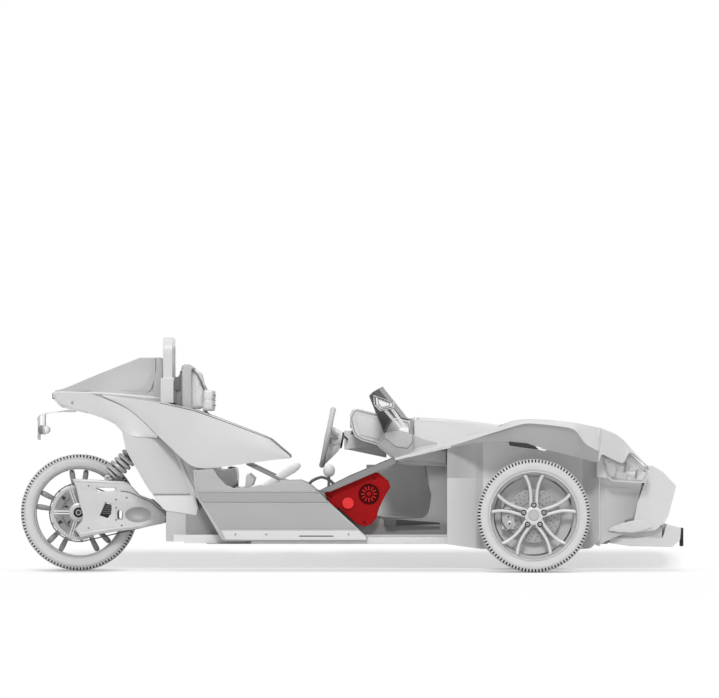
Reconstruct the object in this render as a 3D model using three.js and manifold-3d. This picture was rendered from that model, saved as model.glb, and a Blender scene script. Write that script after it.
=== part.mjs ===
// Open three-wheeled two-seater: two steered wheels in front, one driven wheel behind.
// Millimetres. While modelling, X runs forward from the rear axle, Y to the left and Z up from the ground.
import * as THREE from "three";
import Module from "manifold-3d";
import { mergeVertices } from "three/addons/utils/BufferGeometryUtils.js";

const wasm = await Module();
wasm.setup();

// Driving dimensions
const seam = 0.3; // between pieces that seat on each other
const swing = 6; // between pieces that move past each other
const wheelbase = 2667;
const frontTrack = 1745;
const frontTyreRadius = 330;
const frontTyreWidth = 225;
const frontRimRadius = 262;
const rearTyreRadius = 343;
const rearTyreWidth = 255;
const rearRimRadius = 264;
const rimWall = 20;
const spokeCount = 5;

const skin = 5; // body panels
const sheet = 4; // tub and floor metal
const railSize = 50; // frame rails, square
const floorBottom = 163; // underside of the floor pan
const sillTop = 205; // top of the pan's side flange
const tubHalfWidth = 560;
const panHalf = tubHalfWidth + 95; // floor pan
const sideHalfWidth = tubHalfWidth + 180; // outer face of the rocker panels
const cowlOuter = tubHalfWidth + 85;
const bulkheadX = 700; // behind the seats
const cowlBack = wheelbase - 502; // rear edge of the front side panels
const bayHalfWidth = frontTrack / 2 - frontTyreWidth / 2 - 175; // engine bay, between the front wheels
const hoodHalfWidth = bayHalfWidth - 85;
const hoodBack = cowlBack - 190;
const hoodFront = wheelbase + 545;
const noseFront = wheelbase + 837;
const splitterFront = wheelbase + 866;
const finThick = 18;
const hoopHeight = 1373;
const hoopDepth = 56; // along the vehicle
const hoopX = 503; // rear face of the hoops
const kingpinInset = 72; // from the wheel's middle plane

const frontAxle = { x: wheelbase, y: frontTrack / 2, z: frontTyreRadius };
const rearAxle = { x: 0, y: 0, z: rearTyreRadius };
const kingpinY = frontAxle.y - kingpinInset;

// Rows whose first number is x from the front axle
const fromFrontAxle = (rows) => rows.map(([x, ...rest]) => [wheelbase + x, ...rest]);

// Geometry helpers
const axisX = new THREE.Vector3(1, 0, 0);
const axisY = new THREE.Vector3(0, 1, 0);
const axisZ = new THREE.Vector3(0, 0, 1);

function shapeOf(points, holes = []) {
  const vectors = (outline, direction) => {
    const list = outline.map(([u, v]) => new THREE.Vector2(u, v));
    return THREE.ShapeUtils.area(list) * direction < 0 ? list.reverse() : list;
  };
  const shape = new THREE.Shape(vectors(points, 1));
  shape.holes = holes.map((hole) => new THREE.Path(vectors(hole, -1)));
  return shape;
}

function extruded(shape, depth, basis) {
  const geometry = new THREE.ExtrudeGeometry(shape, { depth, bevelEnabled: false, curveSegments: 8 });
  return geometry.applyMatrix4(basis);
}

// Side outline in X and Z, spanning y0 to y1
function sidePlate(points, y0, y1, holes) {
  const basis = new THREE.Matrix4().makeBasis(axisX, axisZ, axisY.clone().negate());
  return extruded(shapeOf(points, holes), y1 - y0, basis).translate(0, y1, 0);
}

// Plan outline in X and Y, spanning z0 to z1
function floorPlate(points, z0, z1, holes) {
  return extruded(shapeOf(points, holes), z1 - z0, new THREE.Matrix4()).translate(0, 0, z0);
}

// Front outline in Y and Z, spanning x0 to x1
function crossPlate(points, x0, x1, holes) {
  const basis = new THREE.Matrix4().makeBasis(axisY, axisZ, axisX);
  return extruded(shapeOf(points, holes), x1 - x0, basis).translate(x0, 0, 0);
}

function block(x0, x1, y0, y1, z0, z1) {
  const geometry = new THREE.BoxGeometry(x1 - x0, y1 - y0, z1 - z0);
  return geometry.translate((x0 + x1) / 2, (y0 + y1) / 2, (z0 + z1) / 2);
}

// Round bar between two points; a second radius tapers it
function bar(from, to, radius, sides = 10, endRadius = radius) {
  const start = new THREE.Vector3(...from);
  const along = new THREE.Vector3(...to).sub(start);
  const geometry = new THREE.CylinderGeometry(endRadius, radius, along.length(), sides);
  geometry.translate(0, along.length() / 2, 0);
  geometry.applyQuaternion(new THREE.Quaternion().setFromUnitVectors(axisY, along.normalize()));
  return geometry.translate(...from);
}

// Round tube swept along a smooth path
function bentTube(points, radius, steps, quarterSides) {
  const path = new THREE.CatmullRomCurve3(points.map((point) => new THREE.Vector3(...point)));
  const ring = new THREE.Shape();
  ring.absarc(0, 0, radius, 0, 2 * Math.PI);
  const settings = { steps, extrudePath: path, curveSegments: 4 * quarterSides };
  return new THREE.ExtrudeGeometry(ring, settings);
}

// Ring or disc turned about the Y axis; the profile holds [radius, y] pairs
function turned(profile, segments) {
  const closed = [...profile, profile[0]].map(([radius, y]) => new THREE.Vector2(radius, y));
  return outward(new THREE.LatheGeometry(closed, segments));
}

function indexed(rows, faces) {
  const geometry = new THREE.BufferGeometry();
  geometry.setAttribute("position", new THREE.Float32BufferAttribute(rows.flat(), 3));
  geometry.setIndex(faces.flat());
  return geometry;
}

// Solid through closed sections with equal point counts, listed so that the first cap faces backwards
function loft(sections) {
  const count = sections[0].length;
  const faces = [];
  for (let s = 0; s + 1 < sections.length; s += 1) {
    for (let i = 0; i < count; i += 1) {
      const a = s * count + i;
      const b = s * count + ((i + 1) % count);
      faces.push([a, b, b + count], [a, b + count, a + count]);
    }
  }
  const capOf = (section, base, flip) => {
    const [origin, first] = section.map((point) => new THREE.Vector3(...point));
    const third = new THREE.Vector3(...section[Math.floor(count / 2)]);
    const u = first.clone().sub(origin).normalize();
    const normal = u.clone().cross(third.sub(origin)).normalize();
    const v = normal.clone().cross(u);
    const flat = section.map((point) => {
      const offset = new THREE.Vector3(...point).sub(origin);
      return new THREE.Vector2(offset.dot(u), offset.dot(v));
    });
    const turn = Math.sign(THREE.ShapeUtils.area(flat)) * (flip ? 1 : -1);
    for (const [a, b, c] of THREE.ShapeUtils.triangulateShape(flat, [])) {
      const same = THREE.ShapeUtils.area([flat[a], flat[b], flat[c]]) * turn > 0;
      faces.push(same ? [base + a, base + b, base + c] : [base + a, base + c, base + b]);
    }
  };
  capOf(sections[0], 0, false);
  capOf(sections.at(-1), (sections.length - 1) * count, true);
  return outward(indexed(sections.flat(), faces));
}

// Sheet of one thickness under a grid of points on its outer face
function panel(grid, wall) {
  const rows = grid.length;
  const columns = grid[0].length;
  const points = grid.map((row) => row.map((point) => new THREE.Vector3(...point)));
  const at = (r, c) => points[Math.min(Math.max(r, 0), rows - 1)][Math.min(Math.max(c, 0), columns - 1)];
  const inner = points.map((row, r) => row.map((point, c) => {
    const alongRows = at(r + 1, c).clone().sub(at(r - 1, c));
    const alongColumns = at(r, c + 1).clone().sub(at(r, c - 1));
    return point.clone().addScaledVector(alongRows.cross(alongColumns).normalize(), -wall);
  }));
  const vertices = [...points.flat(), ...inner.flat()].map((point) => point.toArray());
  const under = rows * columns;
  const faces = [];
  for (let r = 0; r + 1 < rows; r += 1) {
    for (let c = 0; c + 1 < columns; c += 1) {
      const a = r * columns + c;
      const [b, d, e] = [a + 1, a + columns, a + columns + 1];
      faces.push([a, d, e], [a, e, b], [a + under, e + under, d + under], [a + under, b + under,
        e + under]);
    }
  }
  const edge = [];
  for (let c = 0; c < columns; c += 1) edge.push(c);
  for (let r = 1; r < rows; r += 1) edge.push(r * columns + columns - 1);
  for (let c = columns - 2; c >= 0; c -= 1) edge.push((rows - 1) * columns + c);
  for (let r = rows - 2; r > 0; r -= 1) edge.push(r * columns);
  edge.forEach((a, i) => {
    const b = edge[(i + 1) % edge.length];
    faces.push([a, b, b + under], [a, b + under, a + under]);
  });
  return outward(indexed(vertices, faces));
}

function outward(geometry) {
  const { array } = geometry.attributes.position;
  const order = geometry.index.array;
  const corner = (i) => new THREE.Vector3().fromArray(array, 3 * order[i]);
  let volume = 0;
  for (let i = 0; i < order.length; i += 3) volume += corner(i).dot(corner(i + 1).cross(corner(i + 2)));
  if (volume < 0) {
    for (let i = 0; i < order.length; i += 3) [order[i], order[i + 1]] = [order[i + 1], order[i]];
  }
  return geometry;
}

function solidOf(geometry) {
  const bare = geometry.clone();
  for (const name of Object.keys(bare.attributes)) {
    if (name !== "position") bare.deleteAttribute(name);
  }
  const merged = mergeVertices(bare, 1e-3);
  const vertProperties = new Float32Array(merged.attributes.position.array);
  const order = merged.index.array;
  const kept = [];
  for (let i = 0; i < order.length; i += 3) {
    const [a, b, c] = order.slice(i, i + 3);
    if (a !== b && b !== c && c !== a) kept.push(a, b, c);
  }
  return new wasm.Manifold(new wasm.Mesh({ numProp: 3, vertProperties, triVerts: new Uint32Array(kept) }));
}

function geometryOf(solid) {
  const mesh = solid.getMesh();
  const geometry = new THREE.BufferGeometry();
  geometry.setAttribute("position", new THREE.BufferAttribute(mesh.vertProperties, 3));
  geometry.setIndex(new THREE.BufferAttribute(mesh.triVerts, 1));
  return geometry;
}

function joined(...parts) {
  return geometryOf(parts.map(solidOf).reduce((whole, part) => whole.add(part)));
}

function cut(base, ...tools) {
  return geometryOf(tools.map(solidOf).reduce((rest, tool) => rest.subtract(tool), solidOf(base)));
}

const planBothSides = (points) => [...points, ...points.map(([x, y]) => [x, -y]).reverse()];
const flipped = (geometry) => outward(geometryOf(solidOf(geometry)).scale(1, -1, 1));
const boreFor = (radius, sides) => (radius + seam) / Math.cos(Math.PI / sides);
const radians = THREE.MathUtils.degToRad;

// Wheels, turned about Y with the outer face towards +Y, at the origin
const wheelSides = 40;
const hubSides = 20;
const hubRadius = 75;
const hubBack = 30;
const hubFront = 78;
const spindleRadius = 28;
const spokeBack = 46;
const spokeFront = 74;

function tyre(radius, width, rimRadius) {
  const half = width / 2;
  const side = radius - rimRadius;
  // radius, share of the half width
  const wall = [
    [rimRadius, 0.84],
    [rimRadius + 0.15 * side, 0.95],
    [rimRadius + 0.45 * side, 1],
    [radius - 0.22 * side, 0.95],
    [radius - 0.06 * side, 0.84],
    [radius, 0.68],
  ].map(([r, share]) => [r, share * half]);
  return turned([...wall, ...wall.map(([r, y]) => [r, -y]).reverse()], wheelSides);
}

// Outline of one spoke arm in the wheel plane: radius, degrees off the pair's middle line, half width
function spokeArm(stations, middle, side) {
  const edge = (sign) => stations.map(([r, offset, half]) => {
    const angle = radians(middle + side * offset);
    return [r * Math.cos(angle) - sign * half * Math.sin(angle),
      r * Math.sin(angle) + sign * half * Math.cos(angle)];
  });
  return [...edge(-1), ...edge(1).reverse()];
}

function rim(rimRadius, tyreWidth, stations, firstSpoke, back) {
  const lip = 0.42 * tyreWidth + 4;
  const outer = rimRadius - seam;
  const barrel = turned([[outer - rimWall, -lip], [outer, -lip], [outer, lip], [outer - rimWall, lip]],
    wheelSides);
  const bore = boreFor(spindleRadius, hubSides);
  const hub = turned([
    [bore, back], [hubRadius, back], [hubRadius, hubFront - 8], [hubRadius - 10, hubFront], [bore,
      hubFront],
  ], hubSides);
  const parts = [barrel, hub];
  for (let spoke = 0; spoke < spokeCount; spoke += 1) {
    const middle = firstSpoke + (360 / spokeCount) * spoke;
    for (const side of [-1, 1]) parts.push(sidePlate(spokeArm(stations, middle, side), spokeBack,
      spokeFront));
  }
  return joined(...parts);
}

const frontRim = () => rim(frontRimRadius, frontTyreWidth, [
  [hubRadius - 20, 12, 9],
  [0.52 * frontRimRadius, 6.5, 7],
  [0.75 * frontRimRadius, 8.5, 6.5],
  [frontRimRadius - rimWall / 2, 12.6, 7],
], 90, hubBack);

const rearRim = () => rim(rearRimRadius, rearTyreWidth, [
  [hubRadius - 20, 12, 9],
  [rearRimRadius - rimWall / 2, 9, 9],
], 90, -hubFront);

// Front brake and knuckle, with the axle on the Y axis at the origin
const discRadius = 158;
const discThick = 22;
const discFront = 2;
const discBack = discFront - discThick;
const caliperReach = 185;
const caliperInner = 112;
const caliperHeight = 78;
const caliperWall = 22;
const uprightHeight = 140;
const uprightHalf = 30;
const armDrop = 105; // steering arm's top face below the axle
const armReach = 130; // tie rod end behind the kingpin
const tieEyeHeight = 26;
const tieRodRadius = 9;

function brakeDisc() {
  const bore = boreFor(spindleRadius, hubSides);
  return turned([
    [bore, discBack], [discRadius, discBack], [discRadius, discFront], [hubRadius, discFront],
    [hubRadius, hubBack - seam], [bore, hubBack - seam],
  ], 32);
}

function knuckle() {
  const kingpin = -kingpinInset;
  const carrierFront = discBack - swing;
  const spindle = bar([0, kingpin, 0], [0, hubFront - 10, 0], spindleRadius, hubSides);
  const carrier = bar([0, kingpin, 0], [0, carrierFront, 0], 58, 20);
  const upright = block(-uprightHalf, uprightHalf, kingpin - 25, kingpin + 22, -uprightHeight,
    uprightHeight);
  const bracket = block(-caliperReach + 30, -20, kingpin, carrierFront, -45, 45);
  const steeringArm = block(-armReach - 20, 0, kingpin - 20, kingpin + 20, -armDrop - 20, -armDrop);
  const caliper = cut(
    block(-caliperReach, -caliperInner, discBack - swing - caliperWall, discFront + swing + caliperWall,
      -caliperHeight, caliperHeight),
    bar([0, discBack - swing, 0], [0, discFront + swing, 0], discRadius + swing, 30),
  );
  return joined(spindle, carrier, upright, bracket, steeringArm, caliper);
}

// Front suspension on the left side, in place
const armEye = 20;
const eyeRadius = 34;
const pivotRadius = 20;
const pivotHalf = 40;
const baySide = 325; // outer face of the lower front rails
const upperRailSide = 400;
// height and inner end of each arm, half its spread along the vehicle, leg radius
const arms = {
  lower: { z: frontTyreRadius - uprightHeight - seam - armEye / 2, rise: 15, rail: baySide, spread: 165,
    leg: 14 },
  upper: { z: frontTyreRadius + uprightHeight + seam + armEye / 2, rise: 10, rail: upperRailSide,
    spread: 120, leg: 12 },
};
const damperFootInset = 150; // from the kingpin
const damperHead = { y: upperRailSide + 40, z: 560 };
const damperRadius = 17;
const springRadius = 38;

function wishbone({ z, rise, rail, spread, leg }) {
  const eye = [wheelbase, kingpinY, z];
  const pivotY = rail + seam + pivotRadius;
  const parts = [bar([wheelbase, kingpinY, z - armEye / 2], [wheelbase, kingpinY, z + armEye / 2],
    eyeRadius, 16)];
  for (const along of [-spread, spread]) {
    const x = wheelbase + along;
    parts.push(bar([x, pivotY, z + rise], eye, leg, 8));
    parts.push(bar([x - pivotHalf, pivotY, z + rise], [x + pivotHalf, pivotY, z + rise], pivotRadius, 12));
  }
  const flat = (z0, z1) => block(wheelbase - 60, wheelbase + 60, kingpinY - 60, kingpinY + 60, z0, z1);
  return cut(joined(...parts), flat(z + armEye / 2, z + 3 * armEye), flat(z - 3 * armEye, z - armEye / 2));
}

function lowerArm() {
  const foot = [wheelbase, kingpinY - damperFootInset, arms.lower.z + 4];
  const head = [wheelbase, damperHead.y, damperHead.z];
  const toward = (share) => foot.map((value, i) => value + share * (head[i] - value));
  const pin = bar([wheelbase - 75, foot[1], foot[2]], [wheelbase + 75, foot[1], foot[2]], 14, 10);
  const damper = bar(foot, head, damperRadius, 12);
  const spring = bar(toward(0.3), toward(0.88), springRadius, 14);
  return joined(wishbone(arms.lower), pin, damper, spring);
}

const upperArm = () => wishbone(arms.upper);

// Rack and both tie rods, sliding across the vehicle
const rackX = wheelbase - armReach;
const tieEyeBottom = frontTyreRadius - armDrop + seam;
const rackZ = tieEyeBottom + tieEyeHeight / 2 + 4;
const rackHousingHalf = 250;

function steeringRack() {
  const rod = bar([rackX, -kingpinY, rackZ], [rackX, kingpinY, rackZ], tieRodRadius, 10);
  const eye = bar([rackX, kingpinY, tieEyeBottom], [rackX, kingpinY, tieEyeBottom + tieEyeHeight], 16, 14);
  return joined(rod, eye, flipped(eye));
}

// Rear drive; the belt runs on the right
const pivotX = 522; // front end of the swingarm, ahead of the rear axle
const pivotZ = 314;
const cheekInner = 185;
const cheekThick = 34;
const cheekOuter = cheekInner + cheekThick;
const sprocketRadius = 162;
const sprocketOuter = 165;
const sprocketInner = 135;
const beltThick = 7;
const beltSlack = 1.2;
const pulleyRadius = 45;
const pulleyX = pivotX - 110;
const pivotTube = 18;
const rearDiscRadius = 145;
const rearDiscBack = hubFront + seam;
const rearDiscThick = 12;

function sprocket() {
  const bore = boreFor(spindleRadius, hubSides);
  return flipped(turned([
    [bore, hubFront + seam], [hubRadius, hubFront + seam], [hubRadius, sprocketInner],
    [sprocketRadius, sprocketInner], [sprocketRadius, sprocketOuter], [bore, sprocketOuter],
  ], 40));
}

function rearDisc() {
  const bore = boreFor(spindleRadius, hubSides);
  const back = rearDiscBack;
  return turned([[bore, back], [rearDiscRadius, back], [rearDiscRadius, back + rearDiscThick], [bore,
    back + rearDiscThick]], 32);
}

// Belt loop around the sprocket and the output pulley: arcs joined by straight runs
function driveBelt() {
  const loop = (extra) => {
    const points = [];
    const turn = (x, z, radius, from, to, steps) => {
      for (let i = 0; i <= steps; i += 1) {
        const angle = radians(from + ((to - from) * i) / steps);
        points.push([x + radius * Math.cos(angle), z + radius * Math.sin(angle)]);
      }
    };
    turn(0, 0, sprocketRadius + swing + extra, 76, 284, 20);
    turn(pulleyX, pivotZ - rearTyreRadius, pulleyRadius + extra, -76, 76, 8);
    return points;
  };
  const ring = sidePlate(loop(beltThick), -sprocketOuter, -sprocketInner, [loop(0)]);
  return ring.translate(0, 0, rearTyreRadius);
}

function swingarm() {
  // Right-hand cheek, outside the belt: X, Z
  const cheek = [
    [-38, 543], [-15, 499], [3, 413], [27, 330], [23, 298], [-20, 245], [13, 196], [77, 209], [217, 231],
    [332, 244], [pivotX - 12, 279], [pivotX - 5, 349], [434, 423], [364, 448], [300, 515], [274, 528],
      [109, 537],
  ];
  const window = [[128, 326], [160, 400], [195, 394], [196, 332], [172, 310]];
  const slot = [[110, 470], [110, 488], [215, 488], [215, 470]];
  const eye = [[230, 300], [230, 346], [256, 346], [256, 300]];
  const right = sidePlate(cheek, -cheekOuter, -cheekInner, [window, slot, eye]);
  const left = sidePlate(cheek.filter(([, z]) => z < 440), cheekInner, cheekOuter, [window]);
  const z = rearTyreRadius;
  const spindle = bar([0, -cheekOuter + 4, z], [0, cheekOuter, z], spindleRadius, hubSides);
  const foot = block(-32, 70, -cheekOuter, -cheekInner, z - 60, z + 60);
  const cross = block(rearTyreRadius + 15, pulleyX + 15, -cheekOuter, cheekOuter, pivotZ - 28, pivotZ + 30);
  const pivot = bar([pivotX - 27, -cheekOuter, pivotZ], [pivotX - 27, cheekOuter, pivotZ], pivotTube, 16);
  const output = bar([pulleyX, -cheekInner, pivotZ], [pulleyX, -sprocketInner, pivotZ],
    pulleyRadius - beltSlack, 20);
  const discMiddle = rearDiscBack + rearDiscThick / 2;
  const caliperHalf = rearDiscThick / 2 + swing;
  const caliper = cut(
    block(95, 175, discMiddle - caliperHalf - 18, discMiddle + caliperHalf + 18, z - 55, z + 55),
    bar([0, discMiddle - caliperHalf, z], [0, discMiddle + caliperHalf, z], rearDiscRadius + swing, 36),
  );
  const bracket = block(110, 165, discMiddle + caliperHalf + 10, cheekInner + 5, z - 30, z + 30);
  return joined(right, left, spindle, foot, flipped(foot), cross, pivot, output, caliper, bracket);
}

// Rear coil-over, standing on the right-hand cheek and leaning forwards to the tail
const shock = { y: -(cheekInner + cheekThick / 2), footX: 175, footZ: 535.3, headX: 275, headZ: 735,
  spring: 42 };

function rearShock() {
  const { y, footX, footZ, headX, headZ, spring } = shock;
  const foot = [footX, y, footZ + 25];
  const at = (share) => [footX + share * (headX - footX), y, foot[2] + share * (headZ - foot[2])];
  const pad = block(footX - 22, footX + 22, y - 16, y + 16, footZ, footZ + 40);
  return joined(pad, bar(at(0), at(1), damperRadius, 12), bar(at(0.22), at(0.88), spring, 14));
}

// Frame
const railZ = floorBottom + sheet + seam;
const railTop = railZ + railSize;
const sideRail = tubHalfWidth + 5; // inner face of the side rails
const frameBack = pivotX - 5 + seam;
const frameBoxFront = frameBack + 111;
const frameBoxTop = 359;
const frameBoxHalf = 300;
const bayFront = wheelbase + 440;
const firewallX = cowlBack + 5;
const bayBack = firewallX + seam;
const upperRailZ = arms.upper.z - 25;
const braceRadius = 20;
const hoopFoot = 987; // underside of the roll hoops
const hingeX = hoodFront - 30;
const hingeZ = 560;
const hingeRadius = 8;

function frame() {
  const outer = [[-frameBoxHalf, 177], [frameBoxHalf, 177], [frameBoxHalf, frameBoxTop], [-frameBoxHalf,
    frameBoxTop]];
  const inner = [[-190, 227], [190, 227], [190, frameBoxTop - railSize], [-190, frameBoxTop - railSize]];
  const box = crossPlate(outer, frameBack, frameBoxFront, [inner]);
  const outrigger = block(frameBack + 50, frameBoxFront + 40, -sideRail - railSize, sideRail + railSize,
    railZ + 10, railTop);
  const crossAt = (x, half) => block(x, x + railSize, -half, half, railZ, railTop);
  const parts = [box, outrigger, crossAt(bayBack, sideRail + railSize), crossAt(bayFront - railSize, 420)];
  const rack = bar([rackX, -rackHousingHalf, rackZ], [rackX, rackHousingHalf, rackZ], 24, 16);
  const sides = [];
  sides.push(block(frameBoxFront, bayBack + railSize, sideRail, sideRail + railSize, railZ, railTop));
  sides.push(block(bayBack, bayFront, baySide - railSize, baySide, railZ, railTop));
  sides.push(block(cowlBack + 20, bayFront - 60, upperRailSide - railSize, upperRailSide, upperRailZ,
    upperRailZ + railSize));
  for (const x of [cowlBack + 40, wheelbase - arms.upper.spread - 60, wheelbase + arms.upper.spread + 20,
    bayFront - 110]) {
    sides.push(block(x, x + 40, baySide - railSize, baySide, railTop - 5, upperRailZ + 5));
    sides.push(block(x, x + 40, baySide - railSize, upperRailSide, upperRailZ, upperRailZ + railSize));
  }
  const towerTop = damperHead.z + 20;
  sides.push(block(wheelbase - 30, wheelbase + 30, upperRailSide - railSize, upperRailSide + 24,
    upperRailZ + 20, towerTop));
  sides.push(block(rackX - 22, rackX + 22, 150, baySide - 5, railTop - 10, rackZ + 10));
  sides.push(bar([frameBoxFront - 30, 280, frameBoxTop - 10], [hoopX + 30, 280, hoopFoot - 60],
    braceRadius, 10));
  sides.push(block(hoopX - 6, hoopX + 64, 255, 305, hoopFoot - 80, hoopFoot - seam));
  for (const side of sides) parts.push(side, flipped(side));
  const bore = bar([rackX, -kingpinY, rackZ], [rackX, kingpinY, rackZ], boreFor(tieRodRadius, 10), 10);
  return cut(joined(...parts, rack), bore);
}

// Tub: floor pan, side walls, bulkheads and centre tunnel in one pressing
// X, Z of its rear face
const bulkhead = [[760, floorBottom + sheet / 2], [706, 451], [647, 562], [592, 708], [584, 925]];
const firewallTop = 636;
const pocketBack = frameBoxFront + 12; // side wall behind the rocker panel
const pocketBottom = railTop + 2;
const pocketTop = frameBoxTop + 3;
const tunnelHalf = 110;
const tunnelTop = 380;
const consoleBack = wheelbase - 972; // between the footwells
const footOpening = fromFrontAxle([
  [-967, 330], [-967, 540], [-832, 612], [-635, 612], [-592, 450], [-606, 360], [-647, 318],
]);

function tub() {
  const back = bulkhead[0][0];
  const foot = railZ - 1;
  const wallTop = firewallTop - 6;
  const wall = [
    [back + sheet / 2, foot], [back + sheet / 2, pocketBottom], [pocketBack, pocketBottom], [pocketBack,
      pocketTop],
    [727, pocketTop], [735, 420], [1000, 420],
    ...fromFrontAxle([[-1357, 480], [-1187, 467], [-867, wallTop]]), [firewallX - 2, wallTop],
      [firewallX - 2, foot],
  ];
  const bayEdge = sideRows.slice(1, 5).map(([x, y]) => [x, y - seam]);
  const edge = [[back, panHalf], [cowlBack, panHalf], ...bayEdge, [bayFront, bayHalfWidth - 60]];
  const pan = floorPlate(planBothSides(edge), floorBottom, floorBottom + sheet);
  const flange = block(1020, cowlBack, panHalf - sheet, panHalf, floorBottom, sillTop);
  const side = sidePlate(wall, tubHalfWidth - sheet, tubHalfWidth, [footOpening]);
  const rear = [...bulkhead, ...bulkhead.map(([x, z]) => [x + sheet, z]).reverse()];
  const rearWall = sidePlate(rear, -tubHalfWidth, tubHalfWidth);
  const firewall = block(firewallX - sheet, firewallX, -tubHalfWidth, tubHalfWidth, floorBottom,
    firewallTop);
  const tunnel = block(back - 20, firewallX - 1, -tunnelHalf, tunnelHalf, floorBottom, tunnelTop);
  const centreConsole = block(consoleBack, firewallX - 1, -tunnelHalf, tunnelHalf, floorBottom,
    firewallTop - 12);
  const hollow = block(back + 30, cowlBack - 40, -tunnelHalf + sheet, tunnelHalf - sheet,
    floorBottom - 5, tunnelTop - sheet);
  const seatBox = block(830, 1220, seatY - seatHalf + 20, seatY + seatHalf - 20, floorBottom + 1,
    seatBottom - seam);
  return cut(joined(pan, flange, flipped(flange), side, flipped(side), rearWall, firewall, tunnel,
    centreConsole, seatBox, flipped(seatBox)), hollow);
}

// Seats
const seatHalf = (tubHalfWidth - tunnelHalf - 70) / 2;
const seatY = tunnelHalf + 12 + seatHalf;
const seatOuter = seatY + seatHalf;
const seatBottom = 290;

function seat() {
  const back = [
    [790, seatBottom], [690, 600], [645, 800], [613, 964], [612, 1192], [636, 1222], [718, 1181], [742,
      1069],
    [806, 1069], [801, 934], [775, 910], [800, 640], [850, 480], [1240, 500], [1270, 470], [1250, 330],
      [1200, seatBottom],
  ];
  return sidePlate(back, seatY - seatHalf, seatY + seatHalf);
}

// Side bodywork, outlines in X and Z
const rockerInner = panHalf + seam;
const sillBack = 1015;
const sillFront = wheelbase - 1255;
const sill = (share) => sillBack + share * (sillFront - sillBack);

function rocker() {
  const outline = [
    [683, 595], [800, 601], [829, 555], [875, 508], [922, 490], [sillBack, 493], [sill(0.25), 508],
      [sill(0.49), 531],
    [sill(0.74), 534], [sill(0.87), 514], [sillFront, 467], [sillFront + 286, sillTop], [sillFront + 278,
      181], [887, 181], [852, 187], [712, 426], [695, 479],
  ];
  return sidePlate(outline, rockerInner, sideHalfWidth);
}

// Blade beside the seats: x, half width at the deck's inner edge, at its shoulder, at its lower edge,
// then the three heights
const deckHalf = 398;
const deckEdge = deckHalf + 0.4;
const bladeRows = [
  [150, deckEdge, 430, 440, 1030, 1034, 1024],
  [303, deckEdge, 510, 530, 1018, 1016, 957],
  [470, deckEdge, 592, 630, 1000, 988, 800],
  [486, seatOuter - 3, 600, 640, 996, 985, 786],
  [683, sideHalfWidth - 220, sideHalfWidth - 65, sideHalfWidth - 35, 955, 942, 598],
  [799, sideHalfWidth - 200, sideHalfWidth - 50, sideHalfWidth - 25, 912, 902, 606],
  [1132, sideHalfWidth - 100, sideHalfWidth - 35, sideHalfWidth - 20, 782, 776, 652],
  [1249, sideHalfWidth - 50, sideHalfWidth - 32, sideHalfWidth - 25, 680, 677, 664],
];

function blade() {
  return panel(bladeRows.map(([x, deckY, topY, lowY, deckZ, topZ, lowZ]) => [
    [x, deckY, deckZ], [x, topY, topZ], [x, (topY + lowY) / 2 + 8, (topZ + lowZ) / 2], [x, lowY, lowZ],
  ]), skin);
}

// Tail deck sections: x, half width, top, bottom
const deckRows = [
  [-147, 130, 1054, 1011],
  [-100, 190, 1060, 958],
  [71, 330, 1056, 923],
  [150, deckHalf, 1050, 898],
  [217, deckHalf, 1046, 864],
  [265, deckHalf, 1043, 811 + seam],
  [hoopX - 14 - seam, deckHalf, 1022, 789.5 + seam],
];
// Sail behind each hoop: x, top
const sailRows = [[-100, 1075], [118, 1158], [364, 1255], [482, 1255]];

function tailCowl() {
  const deck = loft(deckRows.map(([x, half, top, bottom]) => [
    [x, -half, bottom + 20], [x, -half, top - 15], [x, -half + 20, top], [x, half - 20, top], [x, half,
      top - 15],
    [x, half, bottom + 20], [x, half - 40, bottom], [x, -half + 40, bottom],
  ]));
  const sail = loft(sailRows.map(([x, top], i) => {
    const [inner, outer] = [[60, 150], [100, 280], [120, 370], [120, 380]][i];
    return [[x, inner, 1010], [x, inner + 10, top], [x, outer - 40, top], [x, outer, 1010]];
  }));
  return joined(deck, sail, flipped(sail));
}

const rearBodyHalf = tubHalfWidth - 4;

function rearBody() {
  const outline = [
    [265, 811], [480, 790], [574, 706], [630, 560], [688, 451], [716, 365], [560, 365], [504, 365], [446,
      448],
    [411, 495], [329, 636], [288, 712],
  ];
  const { y, headX, headZ, spring } = shock;
  const body = sidePlate(outline, -rearBodyHalf, rearBodyHalf);
  const well = block(100, headX + 45, y - spring - swing, y + spring + swing, 500, headZ + 9);
  const braces = [-1, 1].map((side) => block(480, 625, side * 280 - 27, side * 280 + 27, 300, 900));
  return cut(body, well, ...braces);
}

// Roll hoops, one behind each seat
const hoopHalf = seatHalf;
const hoopY = seatOuter - 12 - hoopHalf;
const hoopTube = 50;
const hoopCorner = 95;
const shroudTop = 1133;

function hoopOutline(half, top, corner) {
  const shape = [[half, hoopFoot]];
  for (let i = 0; i <= 6; i += 1) {
    const angle = (Math.PI / 2) * (i / 6);
    shape.push([half - corner + corner * Math.cos(angle), top - corner + corner * Math.sin(angle)]);
  }
  return [...shape, ...shape.map(([y, z]) => [-y, z]).reverse()].map(([y, z]) => [y + hoopY, z]);
}

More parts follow.
